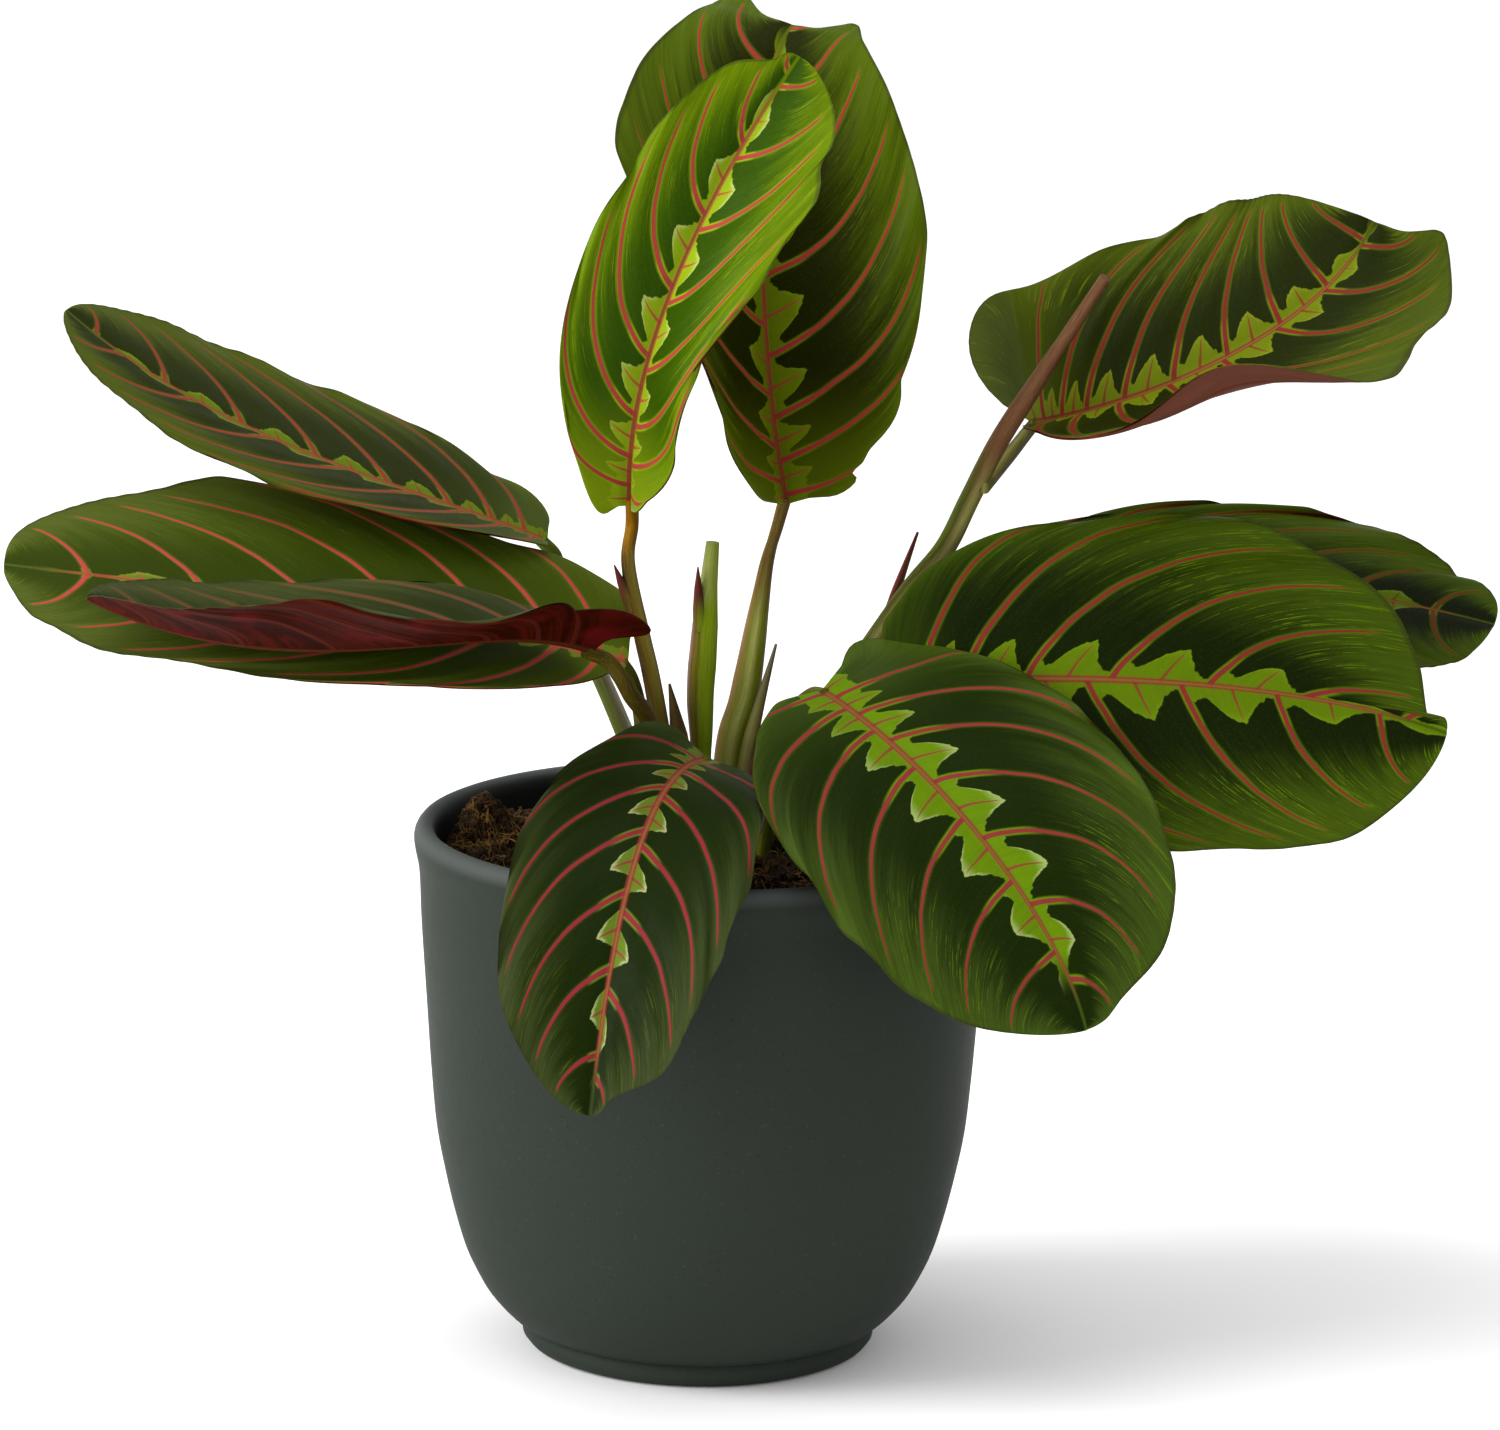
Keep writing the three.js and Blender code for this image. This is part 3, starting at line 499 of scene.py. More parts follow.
def mesh_object(name, points, faces, materials, smooth_angle=55):
    mesh = bpy.data.meshes.new(name)
    mesh.from_pydata([tuple(p) for p in np.asarray(points) * MM], [], faces)
    mesh.update()
    mesh.polygons.foreach_set("use_smooth", [True] * len(mesh.polygons))
    if smooth_angle:
        mesh.set_sharp_from_angle(angle=math.radians(smooth_angle))
    for material in materials:
        mesh.materials.append(material)
    made = bpy.data.objects.new(name, mesh)
    bpy.context.scene.collection.objects.link(made)
    return made


def add_places(piece, name, domain, values):
    """Stores where each corner or point lies on the pattern, for the materials to read."""
    made = piece.data.attributes.new(name, "FLOAT_VECTOR", domain)
    made.data.foreach_set("vector", np.asarray(values, np.float32).ravel())


# Materials


def linear(channel):
    return channel / 12.92 if channel <= 0.04045 else ((channel + 0.055) / 1.055) ** 2.4


def rgb(value, share=PAINTED):
    """Linear RGBA of an sRGB hex colour as it is seen."""
    parts = [(value >> 16) & 255, (value >> 8) & 255, value & 255]
    return tuple(share * linear(part / 255) for part in parts) + (1.0,)


class Wire:
    """What one node hands to the next, to be added, subtracted, multiplied and divided like a number."""

    def __init__(self, shading, socket):
        self.shading = shading
        self.socket = socket

    def __add__(self, other):
        return self.shading.math("ADD", self, other)

    def __sub__(self, other):
        return self.shading.math("SUBTRACT", self, other)

    def __rsub__(self, other):
        return self.shading.math("SUBTRACT", other, self)

    def __mul__(self, other):
        return self.shading.math("MULTIPLY", self, other)

    def __truediv__(self, other):
        return self.shading.math("DIVIDE", self, other)

    def __abs__(self):
        return self.shading.math("ABSOLUTE", self)

    __radd__ = __add__


class Shading:
    """A material's node tree with one short call for each kind of node."""

    def __init__(self, name):
        self.material = bpy.data.materials.new(name)
        self.material.use_nodes = True
        self.tree = self.material.node_tree
        self.tree.nodes.clear()
        self.shader = self.tree.nodes.new("ShaderNodeBsdfPrincipled")
        output = self.tree.nodes.new("ShaderNodeOutputMaterial")
        self.tree.links.new(self.shader.outputs[0], output.inputs["Surface"])
        self.colour = None

    def put(self, socket, value):
        if isinstance(value, Wire):
            self.tree.links.new(value.socket, socket)
        elif isinstance(value, int) and socket.type == "RGBA":
            socket.default_value = rgb(value)
        else:
            socket.default_value = value

    def node(self, kind, inputs, output=0, **settings):
        """What a new node with these settings and inputs hands on."""
        made = self.tree.nodes.new("ShaderNode" + kind)
        for name, value in settings.items():
            setattr(made, name, value)
        for key, value in inputs.items():
            self.put(made.inputs[key], value)
        return Wire(self, made.outputs[output])

    def math(self, operation, *values):
        return self.node("Math", dict(enumerate(values)), operation=operation)

    def step(self, low, high, value):
        """0 below low and 1 above high, with a soft change between them."""
        inputs = {"Value": value, "From Min": low, "From Max": high}
        return self.node("MapRange", inputs, "Result", interpolation_type="SMOOTHSTEP")

    def below(self, low, high, value):
        return 1 - self.step(low, high, value)

    def mix(self, amount, a, b):
        return self.node("Mix", {"Factor": amount, 6: a, 7: b}, 2, data_type="RGBA")

    def paint(self, amount, colour):
        """Lays a colour over what is there."""
        self.colour = self.mix(amount, self.colour, colour)

    def place(self):
        return self.node("TexCoord", {}, "Object")

    def attribute(self, name):
        """The three numbers of a stored place."""
        return self.split(self.node("Attribute", {}, "Vector", attribute_name=name))

    def split(self, vector):
        made = self.tree.nodes.new("ShaderNodeSeparateXYZ")
        self.put(made.inputs[0], vector)
        return [Wire(self, output) for output in made.outputs]

    def join(self, x, y, z):
        return self.node("CombineXYZ", {0: x, 1: y, 2: z})

    def noise(self, vector, scale, detail=2, roughness=0.5):
        inputs = {"Vector": vector, "Scale": scale, "Detail": detail, "Roughness": roughness}
        return self.node("TexNoise", inputs, "Fac")

    def cells(self, vector, scale):
        return self.node("TexVoronoi", {"Vector": vector, "Scale": scale}, "Distance")

    def ramp(self, value, stops):
        """The colour at a value between stops of position: RGBA."""
        made = self.tree.nodes.new("ShaderNodeValToRGB")
        elements = made.color_ramp.elements
        while len(elements) < len(stops):
            elements.new(0.5)
        for element, (position, colour) in zip(elements, stops.items()):
            element.position = position
            element.color = colour
        self.put(made.inputs[0], value)
        return Wire(self, made.outputs["Color"])

    def curve(self, value, stops):
        """The height at a value between stops of position: height."""
        return self.ramp(value, {place: (height, height, height, 1) for place, height in stops.items()})

    def colours(self, value, stops):
        """The colour at a value between stops of position: hex colour."""
        return self.ramp(value, {place: rgb(colour) for place, colour in stops.items()})

    def bump(self, height, distance, strength):
        inputs = {"Height": height, "Distance": distance * MM, "Strength": strength}
        self.put(self.shader.inputs["Normal"], self.node("Bump", inputs))

    def finish(self, rough, specular):
        """The material, with its colour and these on its shader."""
        inputs = {"Base Color": self.colour, "Roughness": rough, "Specular IOR Level": specular}
        for name, value in inputs.items():
            self.put(self.shader.inputs[name], value)
        return self.material


# Leaf blades


def midrib_of(leaf):
    """The midrib's stops, the share of its length reached at each of its even steps, and its length."""
    stops = np.array(leaf["midrib"], float)
    travelled = travelled_along(bezier(stops, np.linspace(0, 1, MIDRIB_STEPS)[:, None]))
    return stops, travelled / travelled[-1], travelled[-1]


def midrib_at(stops, shares, s):
    """Points and directions of the midrib at the shares s of its length."""
    u = np.interp(s, shares, np.linspace(0, 1, len(shares)))[..., None]
    slope = (
        (1 - u) ** 2 * (stops[1] - stops[0]) + 2 * u * (1 - u) * (stops[2] - stops[1])
        + u * u * (stops[3] - stops[2])
    )
    return bezier(stops, u), unit(slope)


def local(bumps, along):
    """The sum of bumps, each given as place, spread and height."""
    total = np.zeros_like(along)
    for place, spread, height in bumps:
        total = total + height * np.exp(-(((along - place) / spread) ** 2))
    return total


def flat_blade(leaf, length, half, v, t):
    """Where a point lies on the blade laid flat: along the midrib and out from it."""
    root = length * (VEIN_LEAD * v + (1 - VEIN_LEAD) * v ** VEIN_SWEEP)
    reach = np.clip(v, 0, 1) ** leaf["skew"][half]
    edge_width = leaf["width"][half] * np.clip(4 * reach * (1 - reach), 0, None) ** leaf["blunt"][half]
    behind = v / leaf["lobe_place"] * np.exp(1 - v / leaf["lobe_place"])
    before = (1 - v) / LOBE_PLACE * np.exp(1 - (1 - v) / LOBE_PLACE)
    edge = (
        length * v + 4 * leaf["forward"][half] * v * (1 - v)
        - leaf["lobe"][half] * behind ** leaf["lobe_power"] + leaf["ahead"][half] * before ** 2
    )
    edge_width = edge_width - local(leaf["nicks"][half], v)
    if leaf["ease"]:
        edge_width = edge_width * (1 - 0.8 * np.exp(-v / leaf["ease"]))
    edge_width = np.maximum(edge_width, 0)
    middle = root + (edge - root) * leaf["bend"]
    along = (1 - t) ** 2 * root + 2 * t * (1 - t) * middle + t * t * edge
    across = (1.84 * t * (1 - t) + t * t) * edge_width
    return along, across


def fine_form(leaf, half, v, t, s, across, number):
    """How far the surface stands off its plain form: ripples, quilting, the midrib's groove, crimps."""
    swell = leaf["wave"] * t ** 3 * np.sqrt(np.clip(np.sin(np.pi * np.clip(v, 0, 1) ** 1.23), 0, 1))
    ripple = swell * np.sin(2 * np.pi * leaf["waves"] * v + (0 if half else 1.7))
    quilt = QUILT_HEIGHT * (0.5 - 0.5 * np.cos(2 * np.pi * number))
    quilt = quilt * smooth(0.05, 0.3, t) * (1 - smooth(0.75, 1, t))
    quilt = quilt * smooth(0.12, 0.5, v) * (1 - smooth(0.93, 0.99, v))
    groove = -GROOVE_DEPTH * np.exp(-((across / GROOVE_WIDTH) ** 2))
    crimp = CRIMP_HEIGHT * t ** 4 * np.sin(2 * np.pi * number * CRIMPS + 3 * s)
    crimp = crimp * np.sin(np.pi * np.clip(v, 0, 1)) ** 0.3
    return ripple + quilt + groove + crimp


def vein_places(along, across, number):
    """For the pattern: the vein's number, the distance out along it and the distance between veins."""
    travelled = np.zeros_like(along)
    travelled[:, 1:] = np.cumsum(np.hypot(np.diff(along, axis=1), np.diff(across, axis=1)), axis=1)
    steps_along = np.stack([np.gradient(along, axis=0), np.gradient(across, axis=0)])
    steps_out = np.stack([np.gradient(along, axis=1), np.gradient(across, axis=1)])
    area = np.abs(steps_along[0] * steps_out[1] - steps_along[1] * steps_out[0])
    pitch = area / np.maximum(np.hypot(*steps_out) * np.gradient(number, axis=0), 1e-6)
    return np.stack([number, travelled, np.clip(pitch, 0.2, 40)], -1)


def blade_half(leaf, half, v, t):
    """Points, normals and pattern places of one half blade on the grid of veins v and steps out t."""
    side = 1 if half else -1
    stops, shares, length = midrib_of(leaf)
    along, across = flat_blade(leaf, length, half, v, t)
    held = np.clip(along, 0, length)
    s = held / length
    origin, tangent = midrib_at(stops, shares, s)
    origin = origin + tangent * (along - held)[..., None]
    sideways = unit(np.cross(tangent, blend(leaf["face"], s)))
    up = np.cross(sideways, tangent)
    fold = np.radians(blend(leaf["fold"][half], s) + local(leaf["creases"][half], s))
    turn = np.radians(blend(leaf["curl"][half], s) + local(leaf["rolls"][half], s)) / leaf["width"][half]
    turn = np.where(np.abs(turn) < 1e-6, 1e-6, turn)
    angle = fold + turn * across
    out = (np.sin(angle) - np.sin(fold)) / turn
    rise = (np.cos(fold) - np.cos(angle)) / turn
    normal = up * np.cos(angle)[..., None] - side * sideways * np.sin(angle)[..., None]
    blended = smooth(0, 0.12, t)[..., None]
    normal = unit(up * (1 - blended) + normal * blended)
    number = leaf["steps"] * (0.5 * v + 0.5 * v ** VEIN_SWEEP) + leaf["shift"][half]
    lift = fine_form(leaf, half, v, t, s, across, number)
    point = origin + side * sideways * out[..., None] + up * rise[..., None] + normal * lift[..., None]
    return point, normal, vein_places(along, across, number), np.stack([s, t, across], -1)


def blade_grid():
    """Rows from the base to the tip, closer towards it, and columns from the midrib to the edge."""
    shares = np.linspace(0, 1, BLADE_ROWS + 1)
    v = 0.25 * (1 - np.cos(np.pi * shares)) / 2 + 0.75 * (1 - (1 - shares) ** 1.6)
    t = np.linspace(0, 1, BLADE_COLUMNS + 1) ** 0.92
    return np.meshgrid(v, t, indexing="ij")


def blade_piece(name):
    """A thin closed blade: its upper face with the pattern's places, its lower face and its edge."""
    leaf = dict(PLAIN_LEAF, **LEAVES[name])
    rows, columns = BLADE_ROWS, BLADE_COLUMNS
    v, t = blade_grid()
    halves = [blade_half(leaf, half, v, t) for half in (0, 1)]
    thickness = BLADE_THICKNESS + (EDGE_THICKNESS - BLADE_THICKNESS) * smooth(0.6, 1, t)
    points, index = [], {}
    for face in (1, -1):
        for half in (0, 1):
            point, normal = halves[half][:2]
            shifted = point + normal * (face * thickness / 2)[..., None]
            for i, j in np.ndindex(rows + 1, columns + 1):
                on_midrib = j == 0 or i in (0, rows)
                key = (face, 0, i, 0) if on_midrib else (face, half, i, j)
                if key not in index:
                    index[key] = len(points)
                    points.append(shifted[i, j])
                index[(face, half, i, j)] = index[key]
    faces, slots, veins, places = [], [], [], []

    def add_face(corners, slot):
        kept = []
        for corner in corners:
            if index[corner] not in [index[other] for other in kept]:
                kept.append(corner)
        if len(kept) < 3:
            return
        faces.append([index[corner] for corner in kept])
        slots.append(slot)
        for _, half, i, j in kept:
            veins.append(halves[half][2][i, j])
            places.append(halves[half][3][i, j])

    for half in (0, 1):
        for i in range(rows):
            for j in range(columns):
                square = [(i, j), (i + 1, j), (i + 1, j + 1), (i, j + 1)]
                if half == 1:
                    square.reverse()
                add_face([(1, half, a, b) for a, b in square], 0)
                add_face([(-1, half, a, b) for a, b in reversed(square)], 1)
            rim = [(1, half, i), (1, half, i + 1), (-1, half, i + 1), (-1, half, i)]
            if half == 1:
                rim.reverse()
            add_face([(*corner, columns) for corner in rim], 0)
    piece = mesh_object(name + "_blade", points, faces, [upper_look(name, leaf), lower_look(name, leaf)])
    piece.data.polygons.foreach_set("material_index", slots)
    add_places(piece, "vein_place", "CORNER", veins)
    add_places(piece, "blade_place", "CORNER", places)
    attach(piece, BODY)
    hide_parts(name)


def upper_look(name, leaf):
    """Blotched green with a light band of lobes along the midrib and red side veins."""
    m = Shading(name + "_upper")
    dark, green, pale, band, border, red = leaf["colours"]
    place = m.place()
    number, out, pitch = m.attribute("vein_place")
    along, share, across = m.attribute("blade_place")
    count = number + (m.noise(place, 45) - 0.5) * 0.16
    from_vein = abs(count - m.math("ROUND", count)) * pitch
    spot = m.math("FRACT", count)
    from_minor = abs(spot - 0.5) * pitch

    # The ground between the veins: green, a paler outer part, blotches, lanes, threads and flecks.
    fan = m.join(number * 9, out * 0.035, along * 3)
    streaks = m.noise(fan, 1, 3, 0.6)
    fine = m.noise(m.join(number * 40, out * 0.05, along), 1, 2, 0.6)
    broken = m.noise(m.join(number * 12, out * 0.22, 0), 1, 3, 0.7)
    ragged = (m.noise(fan, 2.2, 3, 0.65) - 0.5) * 0.5
    m.colour = m.mix(m.step(0.4, 0.98, share + (streaks - 0.5) * 0.6), green, pale)
    blotched = m.below(leaf["blotch"] - leaf["soft"], leaf["blotch"] + leaf["soft"], share + ragged)
    blotched = blotched * (1 - m.below(0.02, 0.14, along) * 0.8)
    m.paint(blotched, dark)
    lanes = m.noise(m.join(number * 5, out * 0.03, along), 1, 1)
    lanes = m.step(0.42, 0.68, lanes) * m.step(0.3, 0.75, share)
    m.paint(lanes * 0.5, pale)
    thread = m.noise(m.join(number * 55, out * 0.03, 0), 1, 1)
    m.paint(m.step(0.5, 0.72, thread) * (0.32 - blotched * 0.28), pale)
    m.paint(m.below(0.3, 0.46, thread) * 0.3, dark)
    m.paint(m.below(0, 0.28, along) * leaf["base"], band)
    flecked = m.step(0.57, 0.65, fine) * m.step(0.4, 0.55, broken)
    placed = m.step(0.3, 0.6, share) * m.step(leaf["flecks_from"], leaf["flecks_from"] + 0.3, along)
    m.paint(flecked * placed * leaf["flecks"], band)

    # The light band: a lobe between each two side veins, lightest at its border and its tip.
    lobe = m.curve(spot, LOBE_SHAPE)
    lobe = lobe - (1 - lobe) * leaf["notch"]
    lobe = m.math("MAXIMUM", lobe, m.below(0.04, 0.12, along) * 0.8)
    size = m.curve(along, LOBE_SIZES)
    teeth = (m.noise(m.join(number * 17, out * 0.12, 0), 1) - 0.5) * 2
    depth = lobe * size * leaf["band_reach"] + teeth * size - out
    banded = m.step(-0.15, 0.25, depth) * m.below(leaf["fade"], leaf["fade"] + 0.1, along)
    outward = out / (size * leaf["band_reach"])
    rim = m.below(0.1, 1.3, depth) * m.step(0.3, 0.7, outward)
    rim = m.math("MAXIMUM", rim * 0.8, m.step(0.6, 1, outward) * 0.9) * m.step(0.05, 0.4, along)
    light = m.mix(rim, band, border)
    light = m.mix(m.step(0.45, 0.75, streaks) * 0.2, light, pale)
    m.paint(banded, light)

    # The side veins with their light halo, the small vein in each lobe, the midrib and the dry edge.
    half_width = (1 - share * 0.72) * 0.62
    fading = m.below(0.84, 0.94, share + (streaks - 0.5) * 0.2)
    halo = m.below(half_width + 0.05, half_width + 0.7, from_vein) * fading
    glow = m.math("MAXIMUM", m.below(0.8, 1.5, outward), leaf["halo"])
    m.paint(halo * glow, band)
    vein = m.below(half_width - 0.14, half_width + 0.1, from_vein) * fading
    m.paint(vein, red)
    tapered = 0.42 - outward * 0.34
    minor = m.below(tapered - 0.12, tapered + 0.08, from_minor)
    minor = minor * m.below(0.75, 1, outward) * m.below(0.8, 0.9, along)
    m.paint(minor * 0.85, red)
    rib_width = 1.05 - along * 0.7
    rib = m.below(rib_width - 0.25, rib_width + 0.2, across)
    rib_colour = m.mix(m.step(0.2, 0.6, across / rib_width), RIB_MIDDLE, red)
    rib_colour = m.mix(m.step(0.84, 0.96, along), rib_colour, pale)
    m.paint(rib * 0.9, rib_colour)
    m.paint(m.step(0.972, 0.992, share) * 0.55, DRY_EDGE)
    m.paint(m.step(0.5, 0.8, m.noise(place, 2600)) * 0.16, pale)

    height = m.cells(place, 2400) * 0.12 + (fine * 0.35 + (vein * 0.5 + rib * 0.6))
    m.bump(height, 0.25, 0.55)
    return m.finish(0.36 + m.noise(place, 500) * 0.16, 0.03)


def lower_look(name, leaf):
    """Maroon underside with crimson patches between raised veins."""
    m = Shading(name + "_lower")
    place = m.place()
    number, out, pitch = m.attribute("vein_place")
    along, _, across = m.attribute("blade_place")
    from_vein = abs(number - m.math("ROUND", number)) * pitch
    streaks = m.noise(m.join(number * 8, out * 0.04, along), 1, 3, 0.6)
    m.colour = m.mix(m.step(0.35, 0.7, streaks), *MAROON)
    m.paint(m.step(0.5, 0.75, m.noise(place, 90)) * 0.6, CRIMSON)
    m.paint(leaf["faded"], BLEACHED)
    vein = m.below(0.35, 0.8, from_vein)
    m.paint(vein * 0.5, UNDER_VEIN)
    rib = m.below(0.9, 1.4, across)
    m.paint(rib, UNDER_RIB)
    m.bump(vein * 0.6 + (rib * 1.2 + streaks * 0.4), 0.4, 0.6)
    return m.finish(0.6, 0.02)


# Stalks


def leaf_seat(stalk_name, under, side=0):
    """The last two stops of a stalk, behind the base of its blade."""
    leaf = LEAVES[stalk_name.replace("stalk", "leaf")]
    base = np.array(leaf["midrib"][0], float)
    along = unit(np.array(leaf["midrib"][1], float) - base)
    face = np.array(leaf["face"][0], float)
    up = unit(face - along * face.dot(along))
    sideways = np.cross(along, up)
    down, turn = math.radians(under), math.radians(side)
    approach = (
        along * math.cos(down) * math.cos(turn) + sideways * math.cos(down) * math.sin(turn)
        + up * math.sin(down)
    )
    return [base - approach * JOINT_LENGTH, base + along * SEAT_DEPTH - up * SEAT_DROP]


def tube(points, radii, sides, ridges=0.0, seed=0):
    """A closed tube with faint lengthwise ridges. Returns points, faces and each vertex's place."""
    tangents = unit(np.gradient(points, axis=0))
    across = np.array([1.0, 0, 0])
    made, places = [], []
    travelled = 0.0
    for k, point in enumerate(points):
        tangent = tangents[k]
        across = unit(across - tangent * across.dot(tangent))
        third = np.cross(tangent, across)
        if k:
            travelled += np.linalg.norm(point - points[k - 1])
        for i in range(sides):
            angle = 2 * math.pi * i / sides
            ridge = 1 + ridges * (math.sin(9 * angle + seed) + 0.6 * math.sin(5 * angle + 2 * seed))
            offset = across * math.cos(angle) + third * math.sin(angle)
            made.append(point + offset * radii[k] * ridge)
            places.append((offset[0], offset[1], travelled))
    return made, closed_faces(len(points), sides), places


def spread_radii(values, count):
    """As many radii at even steps, between the given ones."""
    return np.interp(np.linspace(0, 1, count), np.linspace(0, 1, len(values)), values)


def sheath_tip(start, end, radius):
    radii = spread_radii((radius, radius, radius * 0.7, 0.15), TIP_STEPS)
    points, faces, places = tube(spline((start, end), TIP_STEPS), radii, TIP_SIDES)
    return points, faces, [(x, y, length + TIP_MARK) for x, y, length in places]


def side_branch(name, start, under, radii):
    points = spline([start, *leaf_seat(name, under)], BRANCH_STEPS)
    return tube(points, spread_radii(radii, BRANCH_STEPS), BRANCH_SIDES)


def stalk_piece(name):
    """A stem with its side branch or its sheath's free point, as one piece."""
    stalk = dict(PLAIN_STALK, **STALKS[name])
    x, y = stalk["root"]
    stops = [(x, y, STALK_EXIT), *stalk["way"]]
    if "under" in stalk:
        stops += leaf_seat(name, stalk["under"], stalk["side"])
    count = STALK_STEPS * (len(stops) - 1)
    points = np.vstack([[(x, y, STALK_FOOT)], spline(stops, count)])
    radii = np.concatenate([[stalk["radii"][0]], spread_radii(stalk["radii"], count)])
    parts = [tube(points, radii * STALK_SLIM, STALK_SIDES, STALK_RIDGES, len(name))]
    if "tip" in stalk:
        parts.append(sheath_tip(*stalk["tip"]))
    if "branch" in stalk:
        parts.append(side_branch(name, *stalk["branch"]))
    piece = mesh_object(name + "_stem", *merged(parts), [stalk_look(name, stalk)])
    add_places(piece, "stem_place", "POINT", [place for part in parts for place in part[2]])
    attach(piece, BODY)
    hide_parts(name)


def stalk_look(name, stalk):
    """Streaked lengthwise, from the low colours to the high ones, and maroon on a sheath's free point."""
    m = Shading(name + "_skin")
    x, y, length = m.attribute("stem_place")
    streaks = m.noise(m.join(x * 7, y * 7, length * 0.05), 1, 3, 0.6)
    fine = m.noise(m.join(x * 22, y * 22, length * 0.16), 1, 2, 0.6)
    # Across the stem from its left side to its right: the stem's own stripes, and on stalk_left_high a
    # painted highlight.
    around = m.math("MULTIPLY_ADD", x, 0.5, 0.5) + (streaks - 0.5) * 0.22
    grown = m.step(*stalk["turns"], length + (streaks - 0.5) * 14)
    grown = grown * m.below(TIP_MARK - 40, TIP_MARK - 20, length)
    m.colour = m.mix(grown, m.colours(around, stalk["low"]), m.colours(around, stalk["high"]))
    m.paint(m.step(0.54, 0.7, fine) * 0.35, LIGHT_STREAK)
    m.paint(m.below(0.3, 0.46, fine) * 0.45, DARK_STREAK)
    m.paint(m.step(TIP_MARK + 1, TIP_MARK + 9, length), m.colours(around, SHEATH_TIP))
    m.bump(fine * 0.8 + streaks * 0.6, 0.3, 0.5)
    return m.finish(0.45, 0.03)


# Pot


def eased(profile, steps):
    """More points on a smooth curve through the profile's own."""
    flat = [(radius, 0, height) for radius, height in profile]
    made = spline(flat, steps * len(profile))
    return [(p[0], p[2]) for p in made]


def pot_piece():
    foot = list(POT_PROFILE[:POT_FOOT])
    wall = eased(POT_PROFILE[POT_FOOT - 1:], 6)
    inner = eased((POT_PROFILE[-1], *POT_INNER), 3)
    profile = foot + wall[1:] + inner[1:]
    points = [point for radius, height in profile for point in ring(radius, height, POT_SEGMENTS)]
    piece = mesh_object("pot_body", points, closed_faces(len(profile), POT_SEGMENTS), [pot_look()], 60)
    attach(piece, BODY)
    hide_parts("pot")


def pot_look():
    """Satin dark grey-green glaze, fine specks, a painted highlight on the lip and painted shade inside.
    """
    m = Shading("pot_glaze")
    place = m.place()
    x, y, z = m.split(place)
    m.colour = m.mix(m.noise(place, 14, 3), *GLAZE)
    m.paint(m.step(0.66, 0.74, m.noise(place, 1500, 1)) * 0.3, DARK_SPECK)
    m.paint(m.step(0.68, 0.76, m.noise(place, 1100, 1)) * 0.12, PALE_SPECK)
    # A painted highlight: the lip is painted paler all round.
    lip = m.step(LIP_HIGHLIGHT_HEIGHTS[0] * MM, LIP_HIGHLIGHT_HEIGHTS[1] * MM, z)
    m.paint(lip * 0.5, LIP_HIGHLIGHT)
    # Painted shade: the inner wall above the soil is painted dark.
    radius = m.math("SQRT", x * x + y * y)
    inside = m.below(INNER_SHADE_RADII[0] * MM, INNER_SHADE_RADII[1] * MM, radius)
    inside = inside * m.step(INNER_SHADE_HEIGHTS[0] * MM, INNER_SHADE_HEIGHTS[1] * MM, z)
    m.paint(inside * 0.75, INNER_SHADE)
    m.bump(m.noise(place, 260) * 0.5 + m.noise(place, 1800) * 0.25, 0.12, 0.35)
    return m.finish(0.48 + m.noise(place, 300) * 0.1, 0.03)


# Soil


def soil_height(x, y):
    """How high the soil stands at a place, before its fine unevenness."""
    mound = MOUND_HEIGHT * np.exp(-((np.hypot(x, y) / MOUND_SPREAD) ** 2))
    broad = 0.8 * np.sin(x * 0.13 - y * 0.37)
    small = 1.1 * np.sin(x * 0.31 + 1.3) * np.cos(y * 0.27 - 0.6)
    beside = ((x - CLUMP_PLACE[0]) / CLUMP_SPREAD[0]) ** 2 + ((y - CLUMP_PLACE[1]) / CLUMP_SPREAD[1]) ** 2
    return SOIL_LEVEL + mound + broad + small + CLUMP_HEIGHT * np.exp(-beside)


def rough_field(x, y, seed):
    """Crumbly unevenness from crossed waves, of each fineness and height five."""
    rng = np.random.default_rng(seed)
    total = np.zeros_like(x)
    for scale, size in SOIL_WAVES:
        for _ in range(5):
            angle, phase = rng.uniform(0, 2 * math.pi, 2)
            total += size * 0.5 * np.sin(scale * (x * math.cos(angle) + y * math.sin(angle)) + phase)
    return total


def soil_piece():
    """The soil's uneven top in rings from the middle to the wall, with a side and an underside."""
    angle = np.linspace(0, 2 * math.pi, SOIL_SEGMENTS, endpoint=False)
    points = []
    for k in range(SOIL_RINGS + 1):
        radius = SOIL_RADIUS * (k + 0.02) / (SOIL_RINGS + 0.02)
        x, y = radius * np.cos(angle), radius * np.sin(angle)
        z = soil_height(x, y) + rough_field(x, y, SOIL_SEED)
        points += list(np.stack([x, y, z], -1))
    points += ring(0.985 * SOIL_RADIUS, SOIL_DEPTH, SOIL_SEGMENTS)
    faces = closed_faces(SOIL_RINGS + 2, SOIL_SEGMENTS, turned=True)
    piece = mesh_object("soil_bed", points, faces, [soil_look()], None)
    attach(piece, BODY)
    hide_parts("soil")


def soil_look():
    """Dark peat with paler crumbs and fibres in it."""
    m = Shading("peat")
    place = m.place()
    x, y, z = m.split(place)
    crumbs = m.noise(place, 420, 4, 0.65)
    m.colour = m.mix(m.step(0.3, 0.75, crumbs), *PEAT)
    fibres = m.step(0.62, 0.72, m.noise(m.join(x, y * 3, z * 1.5), 700, 3, 0.7))
    m.paint(fibres * 0.6, PEAT_FIBRE)
    m.bump(crumbs + m.cells(place, 900) * 0.5, 1.2, 0.9)
    return m.finish(0.95, 0.15)


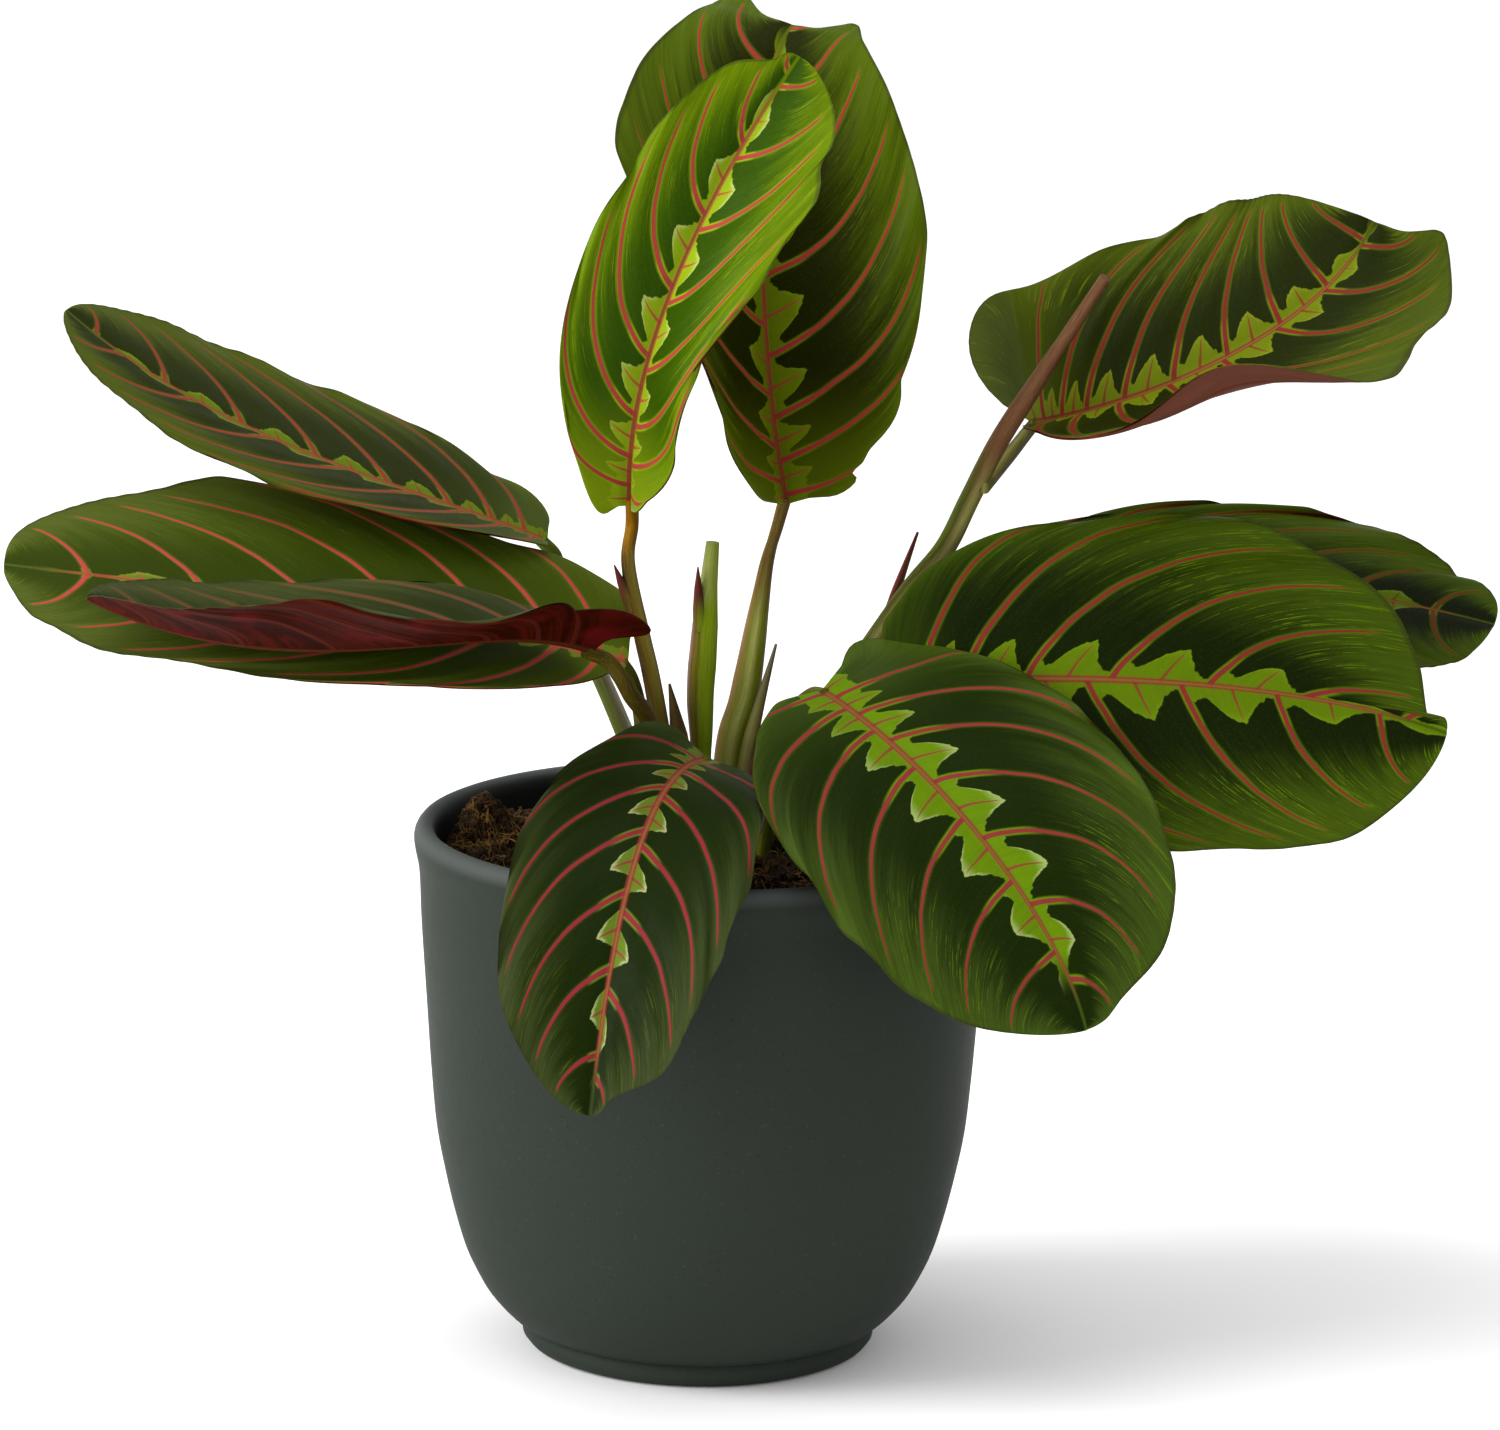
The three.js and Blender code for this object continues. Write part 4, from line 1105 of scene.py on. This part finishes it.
def clod(rng, centre, size):
    """A small crumb of peat: an uneven lump of few faces."""
    stretch = rng.uniform(0.7, 1.3, 3)
    points = []
    for k in range(1, CLOD_ROWS):
        tilt = math.pi * k / CLOD_ROWS
        for i in range(CLOD_SIDES):
            angle = 2 * math.pi * (i + 0.5 * (k % 2)) / CLOD_SIDES
            radius = size * rng.uniform(0.75, 1.2)
            level = math.sin(tilt)
            offset = np.array([level * math.cos(angle), level * math.sin(angle), math.cos(tilt)])
            points.append(centre + offset * stretch * radius)
    top, bottom = len(points), len(points) + 1
    pole = np.array([0, 0, size * stretch[2]])
    points += [centre + pole, centre - pole]
    faces = ring_faces(CLOD_ROWS - 1, CLOD_SIDES, turned=True)
    last = (CLOD_ROWS - 2) * CLOD_SIDES
    for i in range(CLOD_SIDES):
        j = (i + 1) % CLOD_SIDES
        faces += [(top, i, j), (bottom, last + j, last + i)]
    return points, faces


def joined(name, parts, material):
    """One piece of many small parts that lie on the soil."""
    piece = mesh_object(name, *merged(parts), [material])
    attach(piece, BODY)


def soil_place(rng, reach):
    """A random place on the soil, evenly spread but for its very middle."""
    radius = reach * math.sqrt(rng.uniform(0.02, 1))
    angle = rng.uniform(0, 2 * math.pi)
    return radius * math.cos(angle), radius * math.sin(angle)


def soil_crumbs():
    """Crumbs all over the soil, and more of them on the clump."""
    rng = np.random.default_rng(CRUMB_SEED)
    parts = []
    for _ in range(CRUMBS):
        x, y = soil_place(rng, SOIL_RADIUS - 2)
        size = rng.choice(CRUMB_SIZES, p=CRUMB_SHARES)
        z = soil_height(x, y) + 0.3 * size
        parts.append(clod(rng, np.array([x, y, z]), size))
    for _ in range(CLUMP_CRUMBS):
        x = rng.normal(CLUMP_PLACE[0], 3)
        y = rng.normal(CLUMP_PLACE[1], 4)
        if math.hypot(x, y) > SOIL_RADIUS - 3:
            continue
        z = soil_height(x, y) + rng.uniform(0, 1)
        parts.append(clod(rng, np.array([x, y, z]), rng.uniform(0.7, 1.7)))
    joined("soil_crumbs", parts, soil_look())


def fibre_look():
    """Coir, straw-coloured to dark brown."""
    m = Shading("coir")
    place = m.place()
    m.colour = m.mix(m.step(0.35, 0.7, m.noise(place, 300)), *COIR)
    m.bump(m.noise(place, 2500), 0.1, 0.5)
    return m.finish(0.8, 0.2)


def fibre(rng, x, y):
    """A thin crooked thread that lies over the soil about a place, inside the pot's wall."""
    angle = rng.uniform(0, 2 * math.pi)
    length = rng.uniform(2.5, 9)
    stops = []
    for share in np.linspace(0, 1, 5):
        px = x + math.cos(angle) * length * (share - 0.5) + rng.normal(0, 0.8)
        py = y + math.sin(angle) * length * (share - 0.5) + rng.normal(0, 0.8)
        shrink = min(1, (SOIL_RADIUS - 1.5) / max(math.hypot(px, py), 1))
        px, py = px * shrink, py * shrink
        stops.append((px, py, soil_height(px, py) + rng.uniform(0.3, 3)))
    radius = rng.uniform(0.05, 0.15)
    return tube(spline(stops, FIBRE_POINTS), np.full(FIBRE_POINTS, radius), FIBRE_SIDES)


def soil_fibres():
    """A third of the fibres lies at the clump, and the others lie all over the soil."""
    rng = np.random.default_rng(FIBRE_SEED)
    parts = []
    for k in range(FIBRES):
        if k % 3 == 0:
            x, y = rng.normal(FIBRE_CLUMP[0], FIBRE_SPREAD[0]), rng.normal(FIBRE_CLUMP[1], FIBRE_SPREAD[1])
        else:
            x, y = soil_place(rng, SOIL_RADIUS - 3)
        if math.hypot(x, y) <= SOIL_RADIUS - 2.5:
            parts.append(fibre(rng, x, y))
    joined("soil_fibres", parts, fibre_look())


# Stage, lights and camera


def floor_piece():
    m = Shading("floor_white")
    m.colour = m.mix(m.noise(m.place(), 2), *[rgb(white, 1) for white in FLOOR_WHITES])
    points = [(x * FLOOR_REACH, y * FLOOR_REACH, 0) for x, y in ((-1, -1), (1, -1), (1, 1), (-1, 1))]
    floor = mesh_object("floor", points, [(0, 1, 2, 3)], [m.finish(0.9, 0.1)], None)


def lights():
    for name, (place, aim, size, power) in LIGHTS.items():
        data = bpy.data.lights.new(name, "AREA")
        data.shape = "RECTANGLE"
        data.size, data.size_y = size
        data.energy = power
        lamp = bpy.data.objects.new(name, data)
        bpy.context.scene.collection.objects.link(lamp)
        lamp.location = place
        lamp.rotation_mode = "QUATERNION"
        lamp.rotation_quaternion = (Vector(aim) - Vector(place)).to_track_quat("-Z", "Y")
    world = bpy.data.worlds.new("studio")
    world.use_nodes = True
    background = world.node_tree.nodes["Background"]
    background.inputs["Color"].default_value = (1, 1, 1, 1)
    background.inputs["Strength"].default_value = 1.0
    bpy.context.scene.world = world


def camera():
    data = bpy.data.cameras.new("camera")
    data.sensor_width = SENSOR_WIDTH
    data.lens = FOCAL_PIXELS / PHOTO_WIDTH * SENSOR_WIDTH
    data.clip_start, data.clip_end = CAMERA_CLIP
    made = bpy.data.objects.new("camera", data)
    bpy.context.scene.collection.objects.link(made)
    pan, tilt, roll = (math.radians(a) for a in (CAMERA_PAN, CAMERA_TILT, CAMERA_ROLL))
    forward = Vector((math.sin(pan) * math.cos(tilt), math.cos(pan) * math.cos(tilt), -math.sin(tilt)))
    right = forward.cross(Vector((0, 0, 1))).normalized()
    up = right.cross(forward)
    turned_right = right * math.cos(roll) + up * math.sin(roll)
    turned_up = up * math.cos(roll) - right * math.sin(roll)
    made.location = CAMERA_PLACE
    made.rotation_mode = "QUATERNION"
    made.rotation_quaternion = Matrix((turned_right, turned_up, -forward)).transposed().to_quaternion()
    bpy.context.scene.camera = made


def corners(pair):
    return [list(corner) for corner in pair]


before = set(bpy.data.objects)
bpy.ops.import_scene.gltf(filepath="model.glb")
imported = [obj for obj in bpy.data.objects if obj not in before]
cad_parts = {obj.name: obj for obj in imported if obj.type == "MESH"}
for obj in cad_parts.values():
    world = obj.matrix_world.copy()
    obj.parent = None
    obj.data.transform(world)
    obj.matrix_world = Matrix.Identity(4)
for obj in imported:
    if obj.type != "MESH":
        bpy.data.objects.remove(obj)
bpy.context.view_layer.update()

camera()
lights()
floor_piece()
pot_piece()
soil_piece()
soil_crumbs()
soil_fibres()
for leaf_name in LEAVES:
    blade_piece(leaf_name)
for stalk_name in STALKS:
    stalk_piece(stalk_name)

bpy.context.scene.view_settings.view_transform = "Standard"
